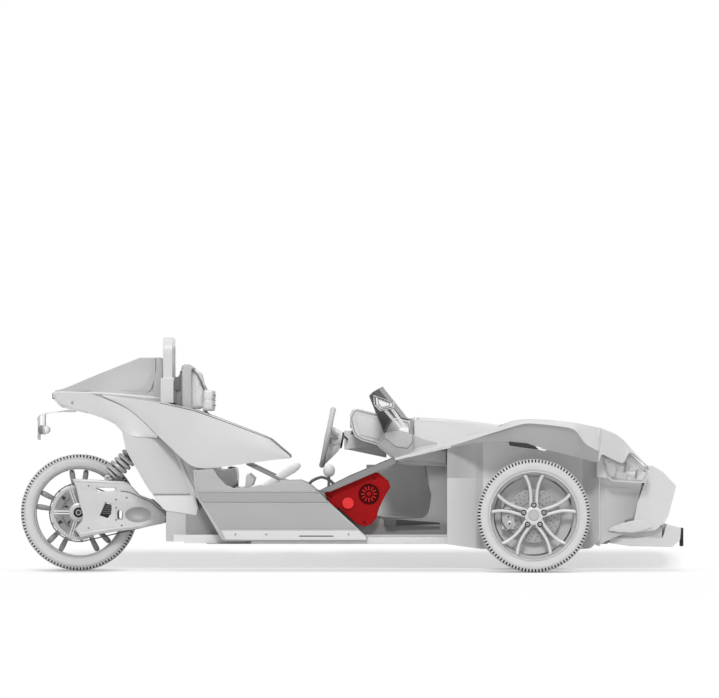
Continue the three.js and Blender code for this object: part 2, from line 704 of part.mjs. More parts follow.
function rollHoops() {
  const outer = hoopOutline(hoopHalf, hoopHeight, hoopCorner);
  const inner = hoopOutline(hoopHalf - hoopTube, hoopHeight - hoopTube, hoopCorner - hoopTube);
  const hoop = cut(crossPlate(outer, hoopX, hoopX + hoopDepth), crossPlate(inner.map(([y, z]) => [y,
    Math.max(z, hoopFoot - 1)]), hoopX - 1, hoopX + hoopDepth + 1));
  const shroud = (side) => block(hoopX - 14, hoopX + hoopDepth + 6, hoopY + side * (hoopHalf - 25) - 32,
    hoopY + side * (hoopHalf - 25) + 32, hoopFoot, shroudTop);
  const one = joined(hoop, shroud(-1), shroud(1));
  const beam = block(hoopX, hoopX + hoopDepth, -hoopY - hoopHalf, hoopY + hoopHalf, hoopFoot,
    hoopFoot + 52);
  return joined(one, flipped(one), beam);
}

// Hood: x, height at the middle, at the shoulder, at the side
const hoodRows = fromFrontAxle([
  [hoodBack - wheelbase, 905, 890, 762],
  [-547, 896, 884, 754],
  [-363, 882, 872, 803],
  [-216, 862, 858, 833],
  [83, 820, 826, 842],
  [323, 742, 752, 800],
  [hoodFront - wheelbase, 650, 660, 700],
]);
const hoodShoulder = 300;
const lugY = 390;
const lugHalf = 10;
const lugRadius = 20;

function hood() {
  const half = hoodHalfWidth - swing;
  const shell = panel(hoodRows.map(([x, middle, shoulder, side]) => [
    [x, -half, side], [x, -hoodShoulder, shoulder], [x, 0, middle], [x, hoodShoulder, shoulder], [x,
      half, side],
  ]), skin);
  const [before, last] = hoodRows.slice(-2);
  const along = (hingeX - before[0]) / (last[0] - before[0]);
  const across = (lugY - hoodShoulder) / (half - hoodShoulder);
  const [shoulder, side] = [2, 3].map((column) => before[column] + along * (last[column] - before[column]));
  const lugTop = shoulder + across * (side - shoulder) - skin / 2;
  const lug = (y) => joined(
    bar([hingeX, y - lugHalf, hingeZ], [hingeX, y + lugHalf, hingeZ], lugRadius, 16),
    block(hingeX - lugRadius, hingeX, y - lugHalf, y + lugHalf, hingeZ, lugTop),
  );
  const bore = bar([hingeX, -lugY - 30, hingeZ], [hingeX, lugY + 30, hingeZ], boreFor(hingeRadius, 12), 12);
  return cut(joined(shell, lug(lugY), lug(-lugY)), bore);
}

// Front fender: x, then half width and height at the inner edge, at the crest and at the lower side edge
const flank = tubHalfWidth + 190; // beside the cowl
const fenderRows = fromFrontAxle([
  [-806, flank - 60, 655, flank - 5, 660, flank - 2, 640],
  [-689, flank - 95, 700, flank, 672, flank + 4, 650],
  [hoodBack + 9 - wheelbase, hoodHalfWidth, 758, flank, 673, flank + 4, 651],
  [-565, hoodHalfWidth, 750, flank + 10, 714, flank + 16, 690],
  [-400, hoodHalfWidth, 792, 790, 765, 800, 743],
  [-255, hoodHalfWidth, 826, 830, 824, 885, 762],
  [-127, hoodHalfWidth, 836, 850, 878, 925, 757],
  [-51, hoodHalfWidth, 840, 855, 896, 935, 742],
  [82, hoodHalfWidth, 842, 855, 889, 940, 713],
  [239, hoodHalfWidth, 820, 845, 874, 935, 672],
  [378, hoodHalfWidth, 785, 810, 847, 905, 637],
  [395, hoodHalfWidth, 780, 800, 842, 890, 704],
  [489, hoodHalfWidth, 742, 765, 805, 835, 712],
  [564, hoodHalfWidth, 704, 735, 728, 795, 707],
  [663, hoodHalfWidth + 20, 622, 690, 626, 700, 616],
]);

function fender() {
  return panel(fenderRows.map(([x, inY, inZ, crestY, crestZ, sideY, sideZ]) => [
    [x, inY, inZ], [x, crestY, crestZ], [x, (crestY + 2 * sideY) / 3, (2 * crestZ + sideZ) / 3], [x,
      sideY, sideZ],
  ]), skin);
}

// Everything above the underside of a fender
function aboveFender() {
  const drop = 1.06 * skin + seam;
  return loft(fenderRows.slice(2).map(([x, inY, inZ, crestY, crestZ, sideY, sideZ]) => [
    [x, inY - 40, 1300], [x, inY - 40, inZ - drop], [x, inY, inZ - drop], [x, crestY, crestZ - drop],
    [x, (crestY + 2 * sideY) / 3, (2 * crestZ + sideZ) / 3 - drop], [x, sideY, sideZ - drop], [x, sideY,
      1300],
  ]));
}

// Side of the engine bay, stepping in around the wheel: x, half width, lower edge
const sideRows = fromFrontAxle([
  [cowlBack - wheelbase, bayHalfWidth + 160, floorBottom],
  [-337, bayHalfWidth + 55, 138],
  [-292, bayHalfWidth + 15, 133],
  [292, bayHalfWidth + 15, 133],
  [337, bayHalfWidth + 55, 138],
  [388, bayHalfWidth + 115, 188],
]);

function frontSide() {
  const outer = sideRows.map(([x, y, bottom]) => [[x, y, bottom], [x, y, 900]]);
  const opening = block(wheelbase - 227, wheelbase + 223, bayHalfWidth - 85, bayHalfWidth + 115,
    floorBottom + 5, 530);
  return cut(panel(outer, sheet), aboveFender(), opening);
}

const cowlInner = tubHalfWidth + seam;

function cowl() {
  const cheek = [
    ...fromFrontAxle([[-870, 811], [-725, 806]]), [hoodBack, 800], [hoodBack, 696], [firewallX - 10, 712],
    [firewallX - 10, firewallTop + seam], ...fromFrontAxle([[-719, 655], [-777, 642], [-823, 662], [-917,
      742]]),
  ];
  const side = sidePlate(cheek, cowlInner, cowlOuter);
  const beam = block(hoodBack + 20, firewallX, -cowlInner - 5, cowlInner + 5, firewallTop + seam, 680);
  return joined(side, flipped(side), beam);
}

const dashHalf = tubHalfWidth - 25;
const dashTop = (x) => 928 - ((x - wheelbase + 922) * 48) / 207;

function dash() {
  const outline = fromFrontAxle([
    [-1069, 905], [-1051, 946], [-1028, 954], [-922, 928], [-715, 880], [-701, 724], [-719, 700],
    [-778, 690], [-823, 690], [-927, 745], [-998, 764], [-1039, 788], [-1057, 829],
  ]);
  const top = sidePlate(outline, -dashHalf, dashHalf);
  const ears = block(wheelbase - 807, wheelbase - 712, -tubHalfWidth, tubHalfWidth, 720, 800);
  return joined(top, ears);
}

// Wind deflector: half width, foot x, head x, head height
const screenRows = [
  [tubHalfWidth - 7, -870, -952, 1028],
  [tubHalfWidth - 19, -817, -932, 1048],
  [tubHalfWidth - 110, -762, -902, 1066],
  [250, -727, -879, 1077],
  [0, -718, -876, 1080],
].map(([y, foot, head, height]) => [y, wheelbase + foot, wheelbase + head, height]);

function windscreen() {
  const lift = 2 * seam;
  const half = screenRows.map(([y, footX, headX, headZ], i) => {
    const footZ = i === 0 ? 811 + lift : dashTop(footX) + lift;
    return [[footX, y, footZ], [headX, y, headZ]];
  });
  const other = half.slice(0, -1).map((row) => row.map(([x, y, z]) => [x, -y, z])).reverse();
  return panel([...half, ...other], sheet);
}

function mirror() {
  const footTop = 845;
  const mirrorX = wheelbase - 870;
  const housing = loft([45, 135, 235].map((y, i) => {
    const shrink = [0.75, 1, 0.8][i];
    const outline = [[-64, 1033], [64, 986], [58, 957], [35, 951], [-24, 939], [-59, 974]];
    return outline.map(([x, z]) => [mirrorX + shrink * x, cowlOuter + y, 985 + shrink * (z - 985)]);
  }));
  const foot = block(mirrorX + 88, mirrorX + 143, cowlOuter - 50, cowlOuter, 808 + seam, footTop);
  const rear = bar([mirrorX + 103, cowlOuter - 15, footTop - 10], [mirrorX - 2, cowlOuter + 100, 955], 9,
    8);
  const front = bar([mirrorX + 128, cowlOuter - 15, footTop - 10], [mirrorX + 38, cowlOuter + 100, 965],
    9, 8);
  return joined(housing, foot, rear, front);
}

const railInner = cowlOuter + seam;

function cowlRail() {
  const outline = fromFrontAxle([[-1253.5, 468], [-1068, 560], [-823, 662], [-778, 642], [-1184, 468]]);
  return sidePlate(outline, railInner, railInner + 40);
}

function kickPanel() {
  const outline = fromFrontAxle([
    [-1215, 461], [-946, 583], [-905, 577], [-847, 531], [-835, 496], [-870, 437], [-899, 379], [-917, 315],
    [-946, 280], [-981, 268], [-1022, 280], [-1127, 373], [-1185, 396], [-1215, 391], [-1185, 420],
  ]);
  const face = cowlOuter - 5;
  const pod = sidePlate(outline, tubHalfWidth + seam, face);
  const roundPad = (x, z, radius) => bar([x, face - 5, z], [x, face + 4, z], radius, 24);
  const speaker = roundPad(wheelbase - 958, 455, 60);
  const button = roundPad(wheelbase - 1080, 402, 38);
  return joined(pod, speaker, button);
}

// Steering wheel, turning about its column
const wheelTilt = 11.4;
const columnAxis = [Math.cos(radians(wheelTilt)), 0, -Math.sin(radians(wheelTilt))];
const steeringWheel = { x: wheelbase - 1203, y: seatY + 68, z: 785, radius: 168, tube: 14, dish: 72 };
const coverBack = wheelbase - 1104;

function alongColumn(distance) {
  const { x, y, z } = steeringWheel;
  return [x + distance * columnAxis[0], y, z + distance * columnAxis[2]];
}

function steeringWheelShape() {
  const { x, y, z, radius, tube, dish } = steeringWheel;
  const ring = new THREE.TorusGeometry(radius, tube, 8, 28);
  ring.applyQuaternion(new THREE.Quaternion().setFromUnitVectors(axisZ, new THREE.Vector3(...columnAxis)));
  ring.translate(x, y, z);
  const reach = (coverBack - x) / columnAxis[0] - 4.8;
  const hub = bar(alongColumn(dish - 30), alongColumn(dish), 42, 18);
  const shaft = bar(alongColumn(dish - 5), alongColumn(reach), 20, 16);
  const up = new THREE.Vector3(...columnAxis).cross(axisY).negate();
  const spokes = [0, 115, 245].map((degrees) => {
    const out = up.clone().applyAxisAngle(new THREE.Vector3(...columnAxis), radians(degrees + 180));
    const end = new THREE.Vector3(x, y, z).addScaledVector(out, radius - 2);
    return bar(alongColumn(dish - 13), end.toArray(), 15, 8, 9);
  });
  return joined(ring, hub, shaft, ...spokes);
}

function steeringColumn() {
  const outline = [
    [coverBack, 712], [coverBack, 826],
    ...fromFrontAxle([[-1058, 826], [-1039.7, 787.3], [-998.4, 763.3], [-927.5, 744.3], [-897, 728]]),
  ];
  return sidePlate(outline, steeringWheel.y - 75, steeringWheel.y + 75);
}

function gearLever() {
  const leverX = wheelbase - 1197;
  const base = block(leverX - 140, leverX + 70, -45, 45, tunnelTop + seam, tunnelTop + 22);
  const arch = bentTube([
    [-125, tunnelTop + 10], [-118, 507], [-82, 536], [-36, 551], [11, 530], [42, 495], [50, tunnelTop + 10],
  ].map(([x, z]) => [leverX + x, 0, z]), 9, 14, 2);
  const lever = bar([leverX, 0, tunnelTop + 10], [leverX + 4, 0, 570], 8, 8);
  const knob = new THREE.SphereGeometry(33, 12, 8).translate(leverX + 4, 0, 590);
  return joined(base, arch, lever, knob);
}

// Nose: a blade each side, joined above and below the grille
const bladeIn = 470;
const bladeOut = 640;
const noseTop = [580, 616];
const noseBottom = [240, 285];

function nose() {
  const outline = fromFrontAxle([
    [674, 618], [697, 621], [761, 583], [noseFront - wheelbase, 501], [790, 326], [767, 285], [714, 244],
      [568, 227],
    [451, 232], [446, 262], [510, 297], [580, 314], [674, 583],
  ]);
  const side = sidePlate(outline, bladeIn, bladeOut);
  const duct = sidePlate(fromFrontAxle([
    [399, 262], [399, 515], [650, 510], [666, 518], [690, 560], [600, 320], [500, 285], [460, 250],
  ]), bladeOut - 50, bladeOut - 40);
  const top = block(wheelbase + 623, wheelbase + 697, -bladeIn - 5, bladeIn + 5, ...noseTop);
  const bottom = block(wheelbase + 568, wheelbase + 758, -bladeIn - 5, bladeIn + 5, ...noseBottom);
  const stay = block(hingeX - 14, wheelbase + 633, lugY + 30, lugY + 50, hingeZ - 14, noseTop[1] - 4);
  const pin = bar([hingeX, -lugY - 40, hingeZ], [hingeX, lugY + 40, hingeZ], hingeRadius, 12);
  const tie = block(bayFront + seam, wheelbase + 583, 380, 415, 206, 285);
  return joined(side, flipped(side), duct, flipped(duct), top, bottom, stay, flipped(stay), pin, tie,
    flipped(tie));
}

function splitter() {
  const outline = fromFrontAxle([
    [446, 168], [568, 151], [814, 145], [861, 186], [866, 256], [783, 278], [758, 200], [446, 205],
  ]);
  const plate = sidePlate(outline, -600, 600);
  const strut = block(wheelbase + 595, wheelbase + 633, 280, 340, 195, noseBottom[0] - seam);
  const fin = block(splitterFront + 30 - finThick, splitterFront + 30, -45, 45, 145, 250);
  const stalk = block(wheelbase + 853, splitterFront + 20, -12, 12, 182, 204);
  return joined(plate, strut, flipped(strut), fin, stalk);
}

function headlamp() {
  const outline = fromFrontAxle([
    [391, 690], [413, 625], [425, 566], [459, 537], [653.6, 526], [673.6, 583], [663, 596], [622, 636],
    [561, 694],
  ]);
  const middle = [wheelbase + 533, 610];
  return loft([[bladeIn + 80, 1], [bladeOut + 80, 1], [bladeOut + 150, 0.86]].map(([y, share]) => (
    outline.map(([x, z]) => [middle[0] + share * (x - middle[0]), y, middle[1] + share * (z - middle[1])])
  )));
}

const grilleX = wheelbase + 633;

function grille() {
  const half = bladeIn - seam;
  const [z0, z1] = [noseBottom[1] + seam, noseTop[0] - seam];
  const bars = 6;
  const post = 18;
  const parts = [];
  for (let i = 0; i < bars; i += 1) {
    const low = z0 + ((z1 - z0 - post) * i) / (bars - 1);
    parts.push(block(grilleX, grilleX + post, -half, half, low, low + post));
  }
  for (const y of [-half, -post / 2, half - post]) parts.push(block(grilleX, grilleX + post, y, y + post,
    z0, z1));
  return joined(...parts);
}

function engine() {
  const blockBody = block(wheelbase - 387, wheelbase + 153, -215, 215, 290, 735);
  const foot = block(wheelbase - 337, wheelbase - 277, 200, baySide - 8, railTop + seam, 330);
  return joined(blockBody, foot, flipped(foot));
}

// Plate carrier with a round signal each side
function plateBracket() {
  const arm = sidePlate([
    [-237, 912], [-237, 918], [-195, 932], [-113, 941], [-55, 948], [-20, 941], [-20, 934], [-113, 934],
      [-195, 925],
  ], -60, 60);
  const board = block(-238, -234, -95, 95, 770, 918);
  const rail = bar([-207, -120, 921], [-207, 120, 921], 7, 8);
  const pod = (y) => new THREE.SphereGeometry(1, 12, 8).scale(32, 26, 27).translate(-205, y, 830);
  const stalks = [-120, 120].map((y) => bar([-207, y, 924], [-207, y, 845], 7, 8));
  return joined(arm, board, rail, ...stalks, pod(-120), pod(120));
}

const tailLamp = () => block(-155, -147 - seam, -105, 105, 1016, 1048);

// Assembly: every material is colour, roughness, metalness
const materials = {
  body: [0xd6d6d6, 0.35, 0],
  shade: [0xb0b0b0, 0.45, 0],
  plastic: [0x9a9a9a, 0.7, 0],
  dark: [0x5c5e5f, 0.75, 0],
  metal: [0xc4c4c4, 0.35, 0.8],
  rubber: [0xbcbcbc, 0.85, 0],
  seatCover: [0xb8b8b8, 0.8, 0],
  red: [0xa01218, 0.5, 0],
  screen: [0x4a4c4e, 0.15, 0],
  lens: [0xd0d4d6, 0.1, 0],
};

function pieceOf(name, geometry, finish, at = [0, 0, 0]) {
  const [color, roughness, metalness] = materials[finish];
  const mesh = new THREE.Mesh(geometry, new THREE.MeshStandardMaterial({ color, roughness, metalness }));
  mesh.name = name;
  mesh.position.set(...at);
  return mesh;
}

const frontEnd = splitterFront + 30;
const group = new THREE.Group();
group.position.x = -(frontEnd - rearTyreRadius) / 2;
const rightSide = new THREE.Group();
rightSide.scale.y = -1;
group.add(rightSide);

function pair(name, geometry, finish, at) {
  group.add(pieceOf(`${name}_left`, geometry, finish, at));
  rightSide.add(pieceOf(`${name}_right`, geometry, finish, at));
}

const single = (...values) => group.add(pieceOf(...values));
const frontHub = [frontAxle.x, frontAxle.y, frontAxle.z];
const rearHub = [rearAxle.x, rearAxle.y, rearAxle.z];

single("frame", frame(), "metal");
single("tub", tub(), "dark");
pair("seat", seat(), "seatCover");
pair("rocker_panel", rocker(), "shade");
pair("quarter_blade", blade(), "body");
single("tail_cowl", tailCowl(), "shade");
single("rear_body", rearBody(), "body");
single("roll_hoops", rollHoops(), "body");
pair("front_fender", fender(), "body");
pair("front_side", frontSide(), "shade");
single("cowl", cowl(), "body");
single("dash", dash(), "plastic");
single("windscreen", windscreen(), "screen");
pair("mirror", mirror(), "body");
pair("cowl_rail", cowlRail(), "dark");
pair("kick_panel", kickPanel(), "red");
single("steering_column", steeringColumn(), "plastic");
single("gear_lever", gearLever(), "dark");
single("nose", nose(), "body");
single("splitter", splitter(), "body");
single("grille", grille(), "dark");
pair("headlamp", headlamp(), "lens");
single("engine", engine(), "metal");
single("plate_bracket", plateBracket(), "plastic");
single("tail_lamp", tailLamp(), "red");
single("hood", hood(), "body");
single("steering_wheel", steeringWheelShape(), "plastic");
single("steering_rack", steeringRack(), "metal");
pair("lower_arm", lowerArm(), "metal");
pair("upper_arm", upperArm(), "metal");
pair("knuckle", knuckle(), "metal", frontHub);
pair("brake_disc", brakeDisc(), "metal", frontHub);
pair("front_rim", frontRim(), "body", frontHub);
pair("front_tyre", tyre(frontTyreRadius, frontTyreWidth, frontRimRadius), "rubber", frontHub);
single("swingarm", swingarm(), "metal");
single("rear_shock", rearShock(), "metal");
single("drive_belt", driveBelt(), "dark");
single("sprocket", sprocket(), "metal", rearHub);
single("rear_disc", rearDisc(), "metal", rearHub);
single("rear_rim", flipped(rearRim()), "body", rearHub);
single("rear_tyre", tyre(rearTyreRadius, rearTyreWidth, rearRimRadius), "rubber", rearHub);

export default group;
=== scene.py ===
import math

import bmesh
import bpy
from mathutils import Matrix, Vector
from mathutils.bvhtree import BVHTree


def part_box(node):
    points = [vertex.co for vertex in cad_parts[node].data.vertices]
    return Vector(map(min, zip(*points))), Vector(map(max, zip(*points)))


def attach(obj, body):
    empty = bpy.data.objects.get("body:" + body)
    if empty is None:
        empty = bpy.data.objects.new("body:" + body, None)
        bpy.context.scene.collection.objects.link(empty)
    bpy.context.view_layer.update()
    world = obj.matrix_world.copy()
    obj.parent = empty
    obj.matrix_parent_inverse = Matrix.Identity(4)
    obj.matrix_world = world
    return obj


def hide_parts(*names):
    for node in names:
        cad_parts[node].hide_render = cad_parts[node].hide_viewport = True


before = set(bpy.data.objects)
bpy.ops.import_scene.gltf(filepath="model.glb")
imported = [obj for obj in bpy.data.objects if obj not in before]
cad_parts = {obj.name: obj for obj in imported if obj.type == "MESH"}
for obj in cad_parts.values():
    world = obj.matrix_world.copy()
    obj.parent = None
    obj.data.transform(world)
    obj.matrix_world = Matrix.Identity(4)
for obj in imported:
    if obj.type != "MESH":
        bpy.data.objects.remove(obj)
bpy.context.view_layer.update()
scene = bpy.context.scene

# Places are written in millimetres: x forwards from the rear axle, y to the left, z up from the ground


def middleOf(node):
    low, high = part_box(node)
    return (low + high) / 2


rearAxle = middleOf("rear_tyre")
frontAxle = {side: middleOf(f"front_tyre_{side}") for side in ("left", "right")}
wheelbase = (frontAxle["left"].x - rearAxle.x) * 1000
origin = Vector((0, 0, 0))
bothSides = (("left", 1), ("right", -1))


def at(x, y, z):
    return Vector((rearAxle.x + x / 1000, y / 1000, z / 1000))


def front(x, y, z):  # the same with x from the front axle
    return at(wheelbase + x, y, z)


def fromFront(outline):
    return [(wheelbase + x, z) for x, z in outline]


# Camera
cameraSizes = {"x": 1654, "distance": 60, "height": 827, "aim": 1307, "lens": 508.8}


def makeCamera():
    data = bpy.data.cameras.new("camera")
    data.lens, data.clip_end = cameraSizes["lens"], 200
    camera = bpy.data.objects.new("camera", data)
    place = at(cameraSizes["x"], -1000 * cameraSizes["distance"], cameraSizes["height"])
    aim = at(cameraSizes["x"], 0, cameraSizes["aim"])
    camera.location = place
    camera.rotation_euler = (aim - place).to_track_quat("-Z", "Y").to_euler()
    scene.collection.objects.link(camera)
    scene.camera = camera
    scene.view_settings.view_transform = "Standard"


makeCamera()


# Node trees: sums are written on sockets, every other node comes from node()
class Wire:
    def __init__(self, tree, socket):
        self.tree, self.socket = tree, socket

    def sum(self, operation, other, swapped=False):
        first, second = (other, self) if swapped else (self, other)
        return self.tree.node("ShaderNodeMath", {"operation": operation}, {0: first, 1: second})


def operator(operation, swapped):
    return lambda self, other: self.sum(operation, other, swapped)


for sign, operation in (("add", "ADD"), ("sub", "SUBTRACT"), ("mul", "MULTIPLY"), ("truediv", "DIVIDE"),
        ("pow", "POWER")):
    setattr(Wire, f"__{sign}__", operator(operation, False))
    setattr(Wire, f"__r{sign}__", operator(operation, True))


class Tree:
    def __init__(self, nodeTree):
        self.nodes, self.links = nodeTree.nodes, nodeTree.links

    def node(self, kind, settings=None, sockets=None, out=0):
        made = self.nodes.new(kind)
        for name, value in (settings or {}).items():
            if name == "stops":
                self.setStops(made.color_ramp, value)
            else:
                setattr(made, name, value)
        for key, value in (sockets or {}).items():
            if isinstance(value, Wire):
                self.links.new(value.socket, made.inputs[key])
            else:
                made.inputs[key].default_value = value
        return Wire(self, made.outputs[out]) if len(made.outputs) else made

    def setStops(self, ramp, stops):
        while len(ramp.elements) < len(stops):
            ramp.elements.new(0.5)
        for element, (position, color) in zip(ramp.elements, stops):
            element.position = position
            element.color = color if len(color) == 4 else (*color, 1)

    def pick(self, wire, name):
        return Wire(self, wire.socket.node.outputs[name])


def grey(level):
    return (level, level, level, 1)


# Stage: a pale floor under even white light; its rise stays low, so that views from behind see the vehicle
stageSizes = {
    "half": 16, "near": -9, "flat": 1.0,
    "rise": [(1.06, 0.012), (1.15, 0.05), (1.34, 0.135), (1.5, 0.17), (1.9, 0.22)],  # depth and height
    "level": 0.9, "seenLevel": 0.8, "glow": 0.21, "underLevel": 0.3, "underGlow": 0.7,
    "openLevel": 0.06, "openGlow": 0.96, "openFrom": 0.086, "openTo": 0.116,
    # painted contact shadow round the tyres: how deep, and the distances where it starts and where it is
    # full
    "contactShadowDepth": 0.46, "contactShadowFrom": 0.31, "contactShadowTo": 0.08,
}
lightLevels = {"sky": 0.46, "top": 0.85, "front": 1.3}


def makeFloor():
    rows = [(stageSizes["near"], 0), (stageSizes["flat"], 0)] + stageSizes["rise"]
    points = [(x, y, z) for y, z in rows for x in (-stageSizes["half"], stageSizes["half"])]
    faces = [(2 * i, 2 * i + 1, 2 * i + 3, 2 * i + 2) for i in range(len(rows) - 1)]
    mesh = bpy.data.meshes.new("floor")
    mesh.from_pydata(points, [], faces)
    for face in mesh.polygons:
        face.use_smooth = True
    floor = bpy.data.objects.new("floor", mesh)
    scene.collection.objects.link(floor)
    paint = bpy.data.materials.new("floorPaint")
    paint.use_nodes = True
    paint.node_tree.nodes.clear()
    tree = Tree(paint.node_tree)
    seen = tree.pick(tree.node("ShaderNodeLightPath"), "Is Camera Ray")
    where = tree.pick(tree.node("ShaderNodeNewGeometry"), "Position")
    split = tree.node("ShaderNodeSeparateXYZ", sockets={"Vector": where})
    along, depth, height = [tree.pick(split, axis) for axis in "XYZ"]
    under = tree.node("ShaderNodeMath", {"operation": "LESS_THAN"}, {0: depth, 1: stageSizes["flat"]})
    reach = {"Value": height, "From Min": stageSizes["openFrom"], "From Max": stageSizes["openTo"]}
    risen = tree.node("ShaderNodeMapRange", {"clamp": True}, reach)
    # Painted contact shadow: round where each tyre stands the floor's glow is lowered
    contactShadows = []
    for axle, inward, outward in ((rearAxle, 0.07, 0), (frontAxle["left"], 0.07, 2)):
        side = (depth * depth) ** 0.5 - axle.y
        outside = tree.node("ShaderNodeMath", {"operation": "MAXIMUM"}, {0: side, 1: 0})
        gap = (along - axle.x) * (along - axle.x) + side * side * inward + outside * outside * outward
        limits = {"Value": gap ** 0.5, "From Min": stageSizes["contactShadowFrom"],
            "From Max": stageSizes["contactShadowTo"]}
        contactShadows.append(tree.node("ShaderNodeMapRange", {"clamp": True}, limits))
    level, glowLevel = [
        stageSizes[name] + under * (stageSizes[low] - stageSizes[name])
        + risen * (stageSizes[clear] - stageSizes[name])
        for name, low, clear in (("seenLevel", "underLevel", "openLevel"),
        ("glow", "underGlow", "openGlow"))]
    glowLevel = glowLevel - under * (contactShadows[0] + contactShadows[1]) * stageSizes["contactShadowDepth"]
    pale = tree.node("ShaderNodeCombineXYZ", sockets={0: level, 1: level, 2: level})
    shade = tree.node("ShaderNodeMix", {"data_type": "RGBA"},
        {0: seen, 6: grey(stageSizes["level"]), 7: pale}, out=2)
    card = tree.node("ShaderNodeBsdfDiffuse", sockets={"Color": shade})
    glow = tree.node("ShaderNodeEmission", sockets={"Color": grey(1), "Strength": seen * glowLevel})
    both = tree.node("ShaderNodeAddShader", sockets={0: card, 1: glow})
    tree.node("ShaderNodeOutputMaterial", sockets={"Surface": both})
    mesh.materials.append(paint)


def makeLight():
    world = bpy.data.worlds.new("sky")
    scene.world = world
    world.use_nodes = True
    world.node_tree.nodes.clear()
    sky = Tree(world.node_tree)
    path = sky.node("ShaderNodeLightPath")
    seen = [sky.pick(path, f"Is {ray} Ray") for ray in ("Camera", "Glossy", "Transmission")]
    shown = sky.node("ShaderNodeMath", {"operation": "ADD", "use_clamp": True},
        {0: seen[0] + seen[1], 1: seen[2]})
    strength = shown * (1 - lightLevels["sky"]) + lightLevels["sky"]
    back = sky.node("ShaderNodeBackground", sockets={"Color": grey(1), "Strength": strength})
    sky.node("ShaderNodeOutputWorld", sockets={"Surface": back})
    for name, level, turn, spread in (
            ("topLamp", lightLevels["top"], (-8, 6, 0), 75),
            ("frontLamp", lightLevels["front"], (54, 0, -4), 12),
    ):
        lamp = bpy.data.lights.new(name, "SUN")
        lamp.energy, lamp.angle = level, math.radians(spread)
        holder = bpy.data.objects.new(name, lamp)
        holder.rotation_euler = [math.radians(value) for value in turn]
        scene.collection.objects.link(holder)


makeFloor()
makeLight()
print("stage and light made")


def tone(level, tint=(1, 1, 1)):  # display level 0 to 255 as a colour
    value = (level / 255) ** 2.2
    return (value * tint[0], value * tint[1], value * tint[2], 1)


def blendColor(tree, factor, first, second):
    return tree.node("ShaderNodeMix", {"data_type": "RGBA", "blend_type": "MIX"},
        {0: factor, 6: first, 7: second}, out=2)


def tones(tree, factor, level, below, above):  # from a darker to a lighter tone
    return blendColor(tree, factor, tone(level - below), tone(level + above))


def noise(tree, place, scale, detail=3, roughness=0.5):
    sockets = {"Vector": place, "Scale": scale, "Detail": detail, "Roughness": roughness}
    return tree.node("ShaderNodeTexNoise", {"noise_dimensions": "3D"}, sockets)


def ramp(tree, factor, low, high):  # 0 at low, 1 at high
    sockets = {"Value": factor, "From Min": low, "From Max": high, "To Min": 0, "To Max": 1}
    return tree.node("ShaderNodeMapRange", {"clamp": True}, sockets)


def pebbles(tree, where, scale):
    return tree.node("ShaderNodeTexVoronoi", {"feature": "SMOOTH_F1"}, {"Vector": where, "Scale": scale})


def sine(tree, value):
    return tree.node("ShaderNodeMath", {"operation": "SINE"}, {0: value})


def bumped(tree, height, depth):  # depth in metres
    return tree.node("ShaderNodeBump", sockets={"Height": height, "Strength": 1, "Distance": depth})


def axes(tree, where):
    split = tree.node("ShaderNodeSeparateXYZ", sockets={"Vector": where})
    return [tree.pick(split, axis) for axis in "XYZ"]


def fromAxle(tree, where, centre):  # radius about the axle, and the place along it
    x, y, z = axes(tree, where)
    along, up = x - centre.x, z - centre.z
    return (along * along + up * up) ** 0.5, y


def finish(socketsOf):
    def make(name, *place, **look):
        paint = bpy.data.materials.new(name)
        paint.use_nodes = True
        paint.node_tree.nodes.clear()
        tree = Tree(paint.node_tree)
        where = tree.pick(tree.node("ShaderNodeTexCoord"), "Object")
        shader = tree.node("ShaderNodeBsdfPrincipled", sockets=socketsOf(tree, where, *place, **look))
        tree.node("ShaderNodeOutputMaterial", sockets={"Surface": shader})
        return paint
    return make


# Sprayed panels: faint cloudiness, orange peel and road dust low down
@finish
def sprayed(tree, where, level, rough, peel=420):
    cloud = noise(tree, where, 2.2, 4)
    fine = noise(tree, where, 60, 3)
    height = axes(tree, where)[2]
    dust = ramp(tree, height + cloud * 0.25, 0.62, 0.1) * ramp(tree, fine, 0.35, 0.75) * 0.2
    shade = tones(tree, cloud, level, 5, 5)
    shade = blendColor(tree, dust, shade, tone(level - 38, (1, 0.985, 0.95)))
    grain = noise(tree, where, peel, 1)
    return {
        "Base Color": shade, "Roughness": rough + dust * 0.4 + (fine - 0.5) * 0.06, "Coat Weight": 0.35,
        "Coat Roughness": 0.12, "Normal": bumped(tree, grain, 0.00006),
    }


# Moulded plastic: pebbled grain, scuffs and slight fading; zones take another tone between limits
# along x, y squared or z; on the liner and the tub one zone each is painted light
@finish
def moulded(tree, where, level, rough, grain=700, depth=0.00025, spread=6, zones=()):
    cloud = noise(tree, where, 3.1, 4)
    pebble = pebbles(tree, where, grain)
    scuff = ramp(tree, noise(tree, where, 34, 6, 0.7), 0.58, 0.72)
    shade = tones(tree, cloud, level, spread, spread)
    shade = blendColor(tree, scuff * 0.18, shade, tone(min(level + 26, 240)))
    x, y, z = axes(tree, where)
    for other, *limits in zones:
        share = 1
        for axis, start, end in limits:
            share = ramp(tree, (x - rearAxle.x, y * y, z)[axis], start, end) * share
        shade = blendColor(tree, share, shade, tone(other))
    rough = rough + scuff * 0.1 - cloud * 0.05
    return {"Base Color": shade, "Roughness": rough, "Normal": bumped(tree, pebble, depth)}


# Cast or painted metal: sand grain, darker in its pits
@finish
def cast(tree, where, level, rough, metal=0.35, grain=900, depth=0.0002):
    cloud = noise(tree, where, 6, 4)
    sand = noise(tree, where, grain, 4, 0.6)
    pit = ramp(tree, noise(tree, where, 160, 3), 0.3, 0.45)
    shade = tones(tree, cloud, level, 8, 6)
    shade = blendColor(tree, (1 - pit) * 0.3, shade, tone(level - 40))
    rough = rough + (1 - pit) * 0.12
    return {"Base Color": shade, "Metallic": metal, "Roughness": rough, "Normal": bumped(tree, sand, depth)}


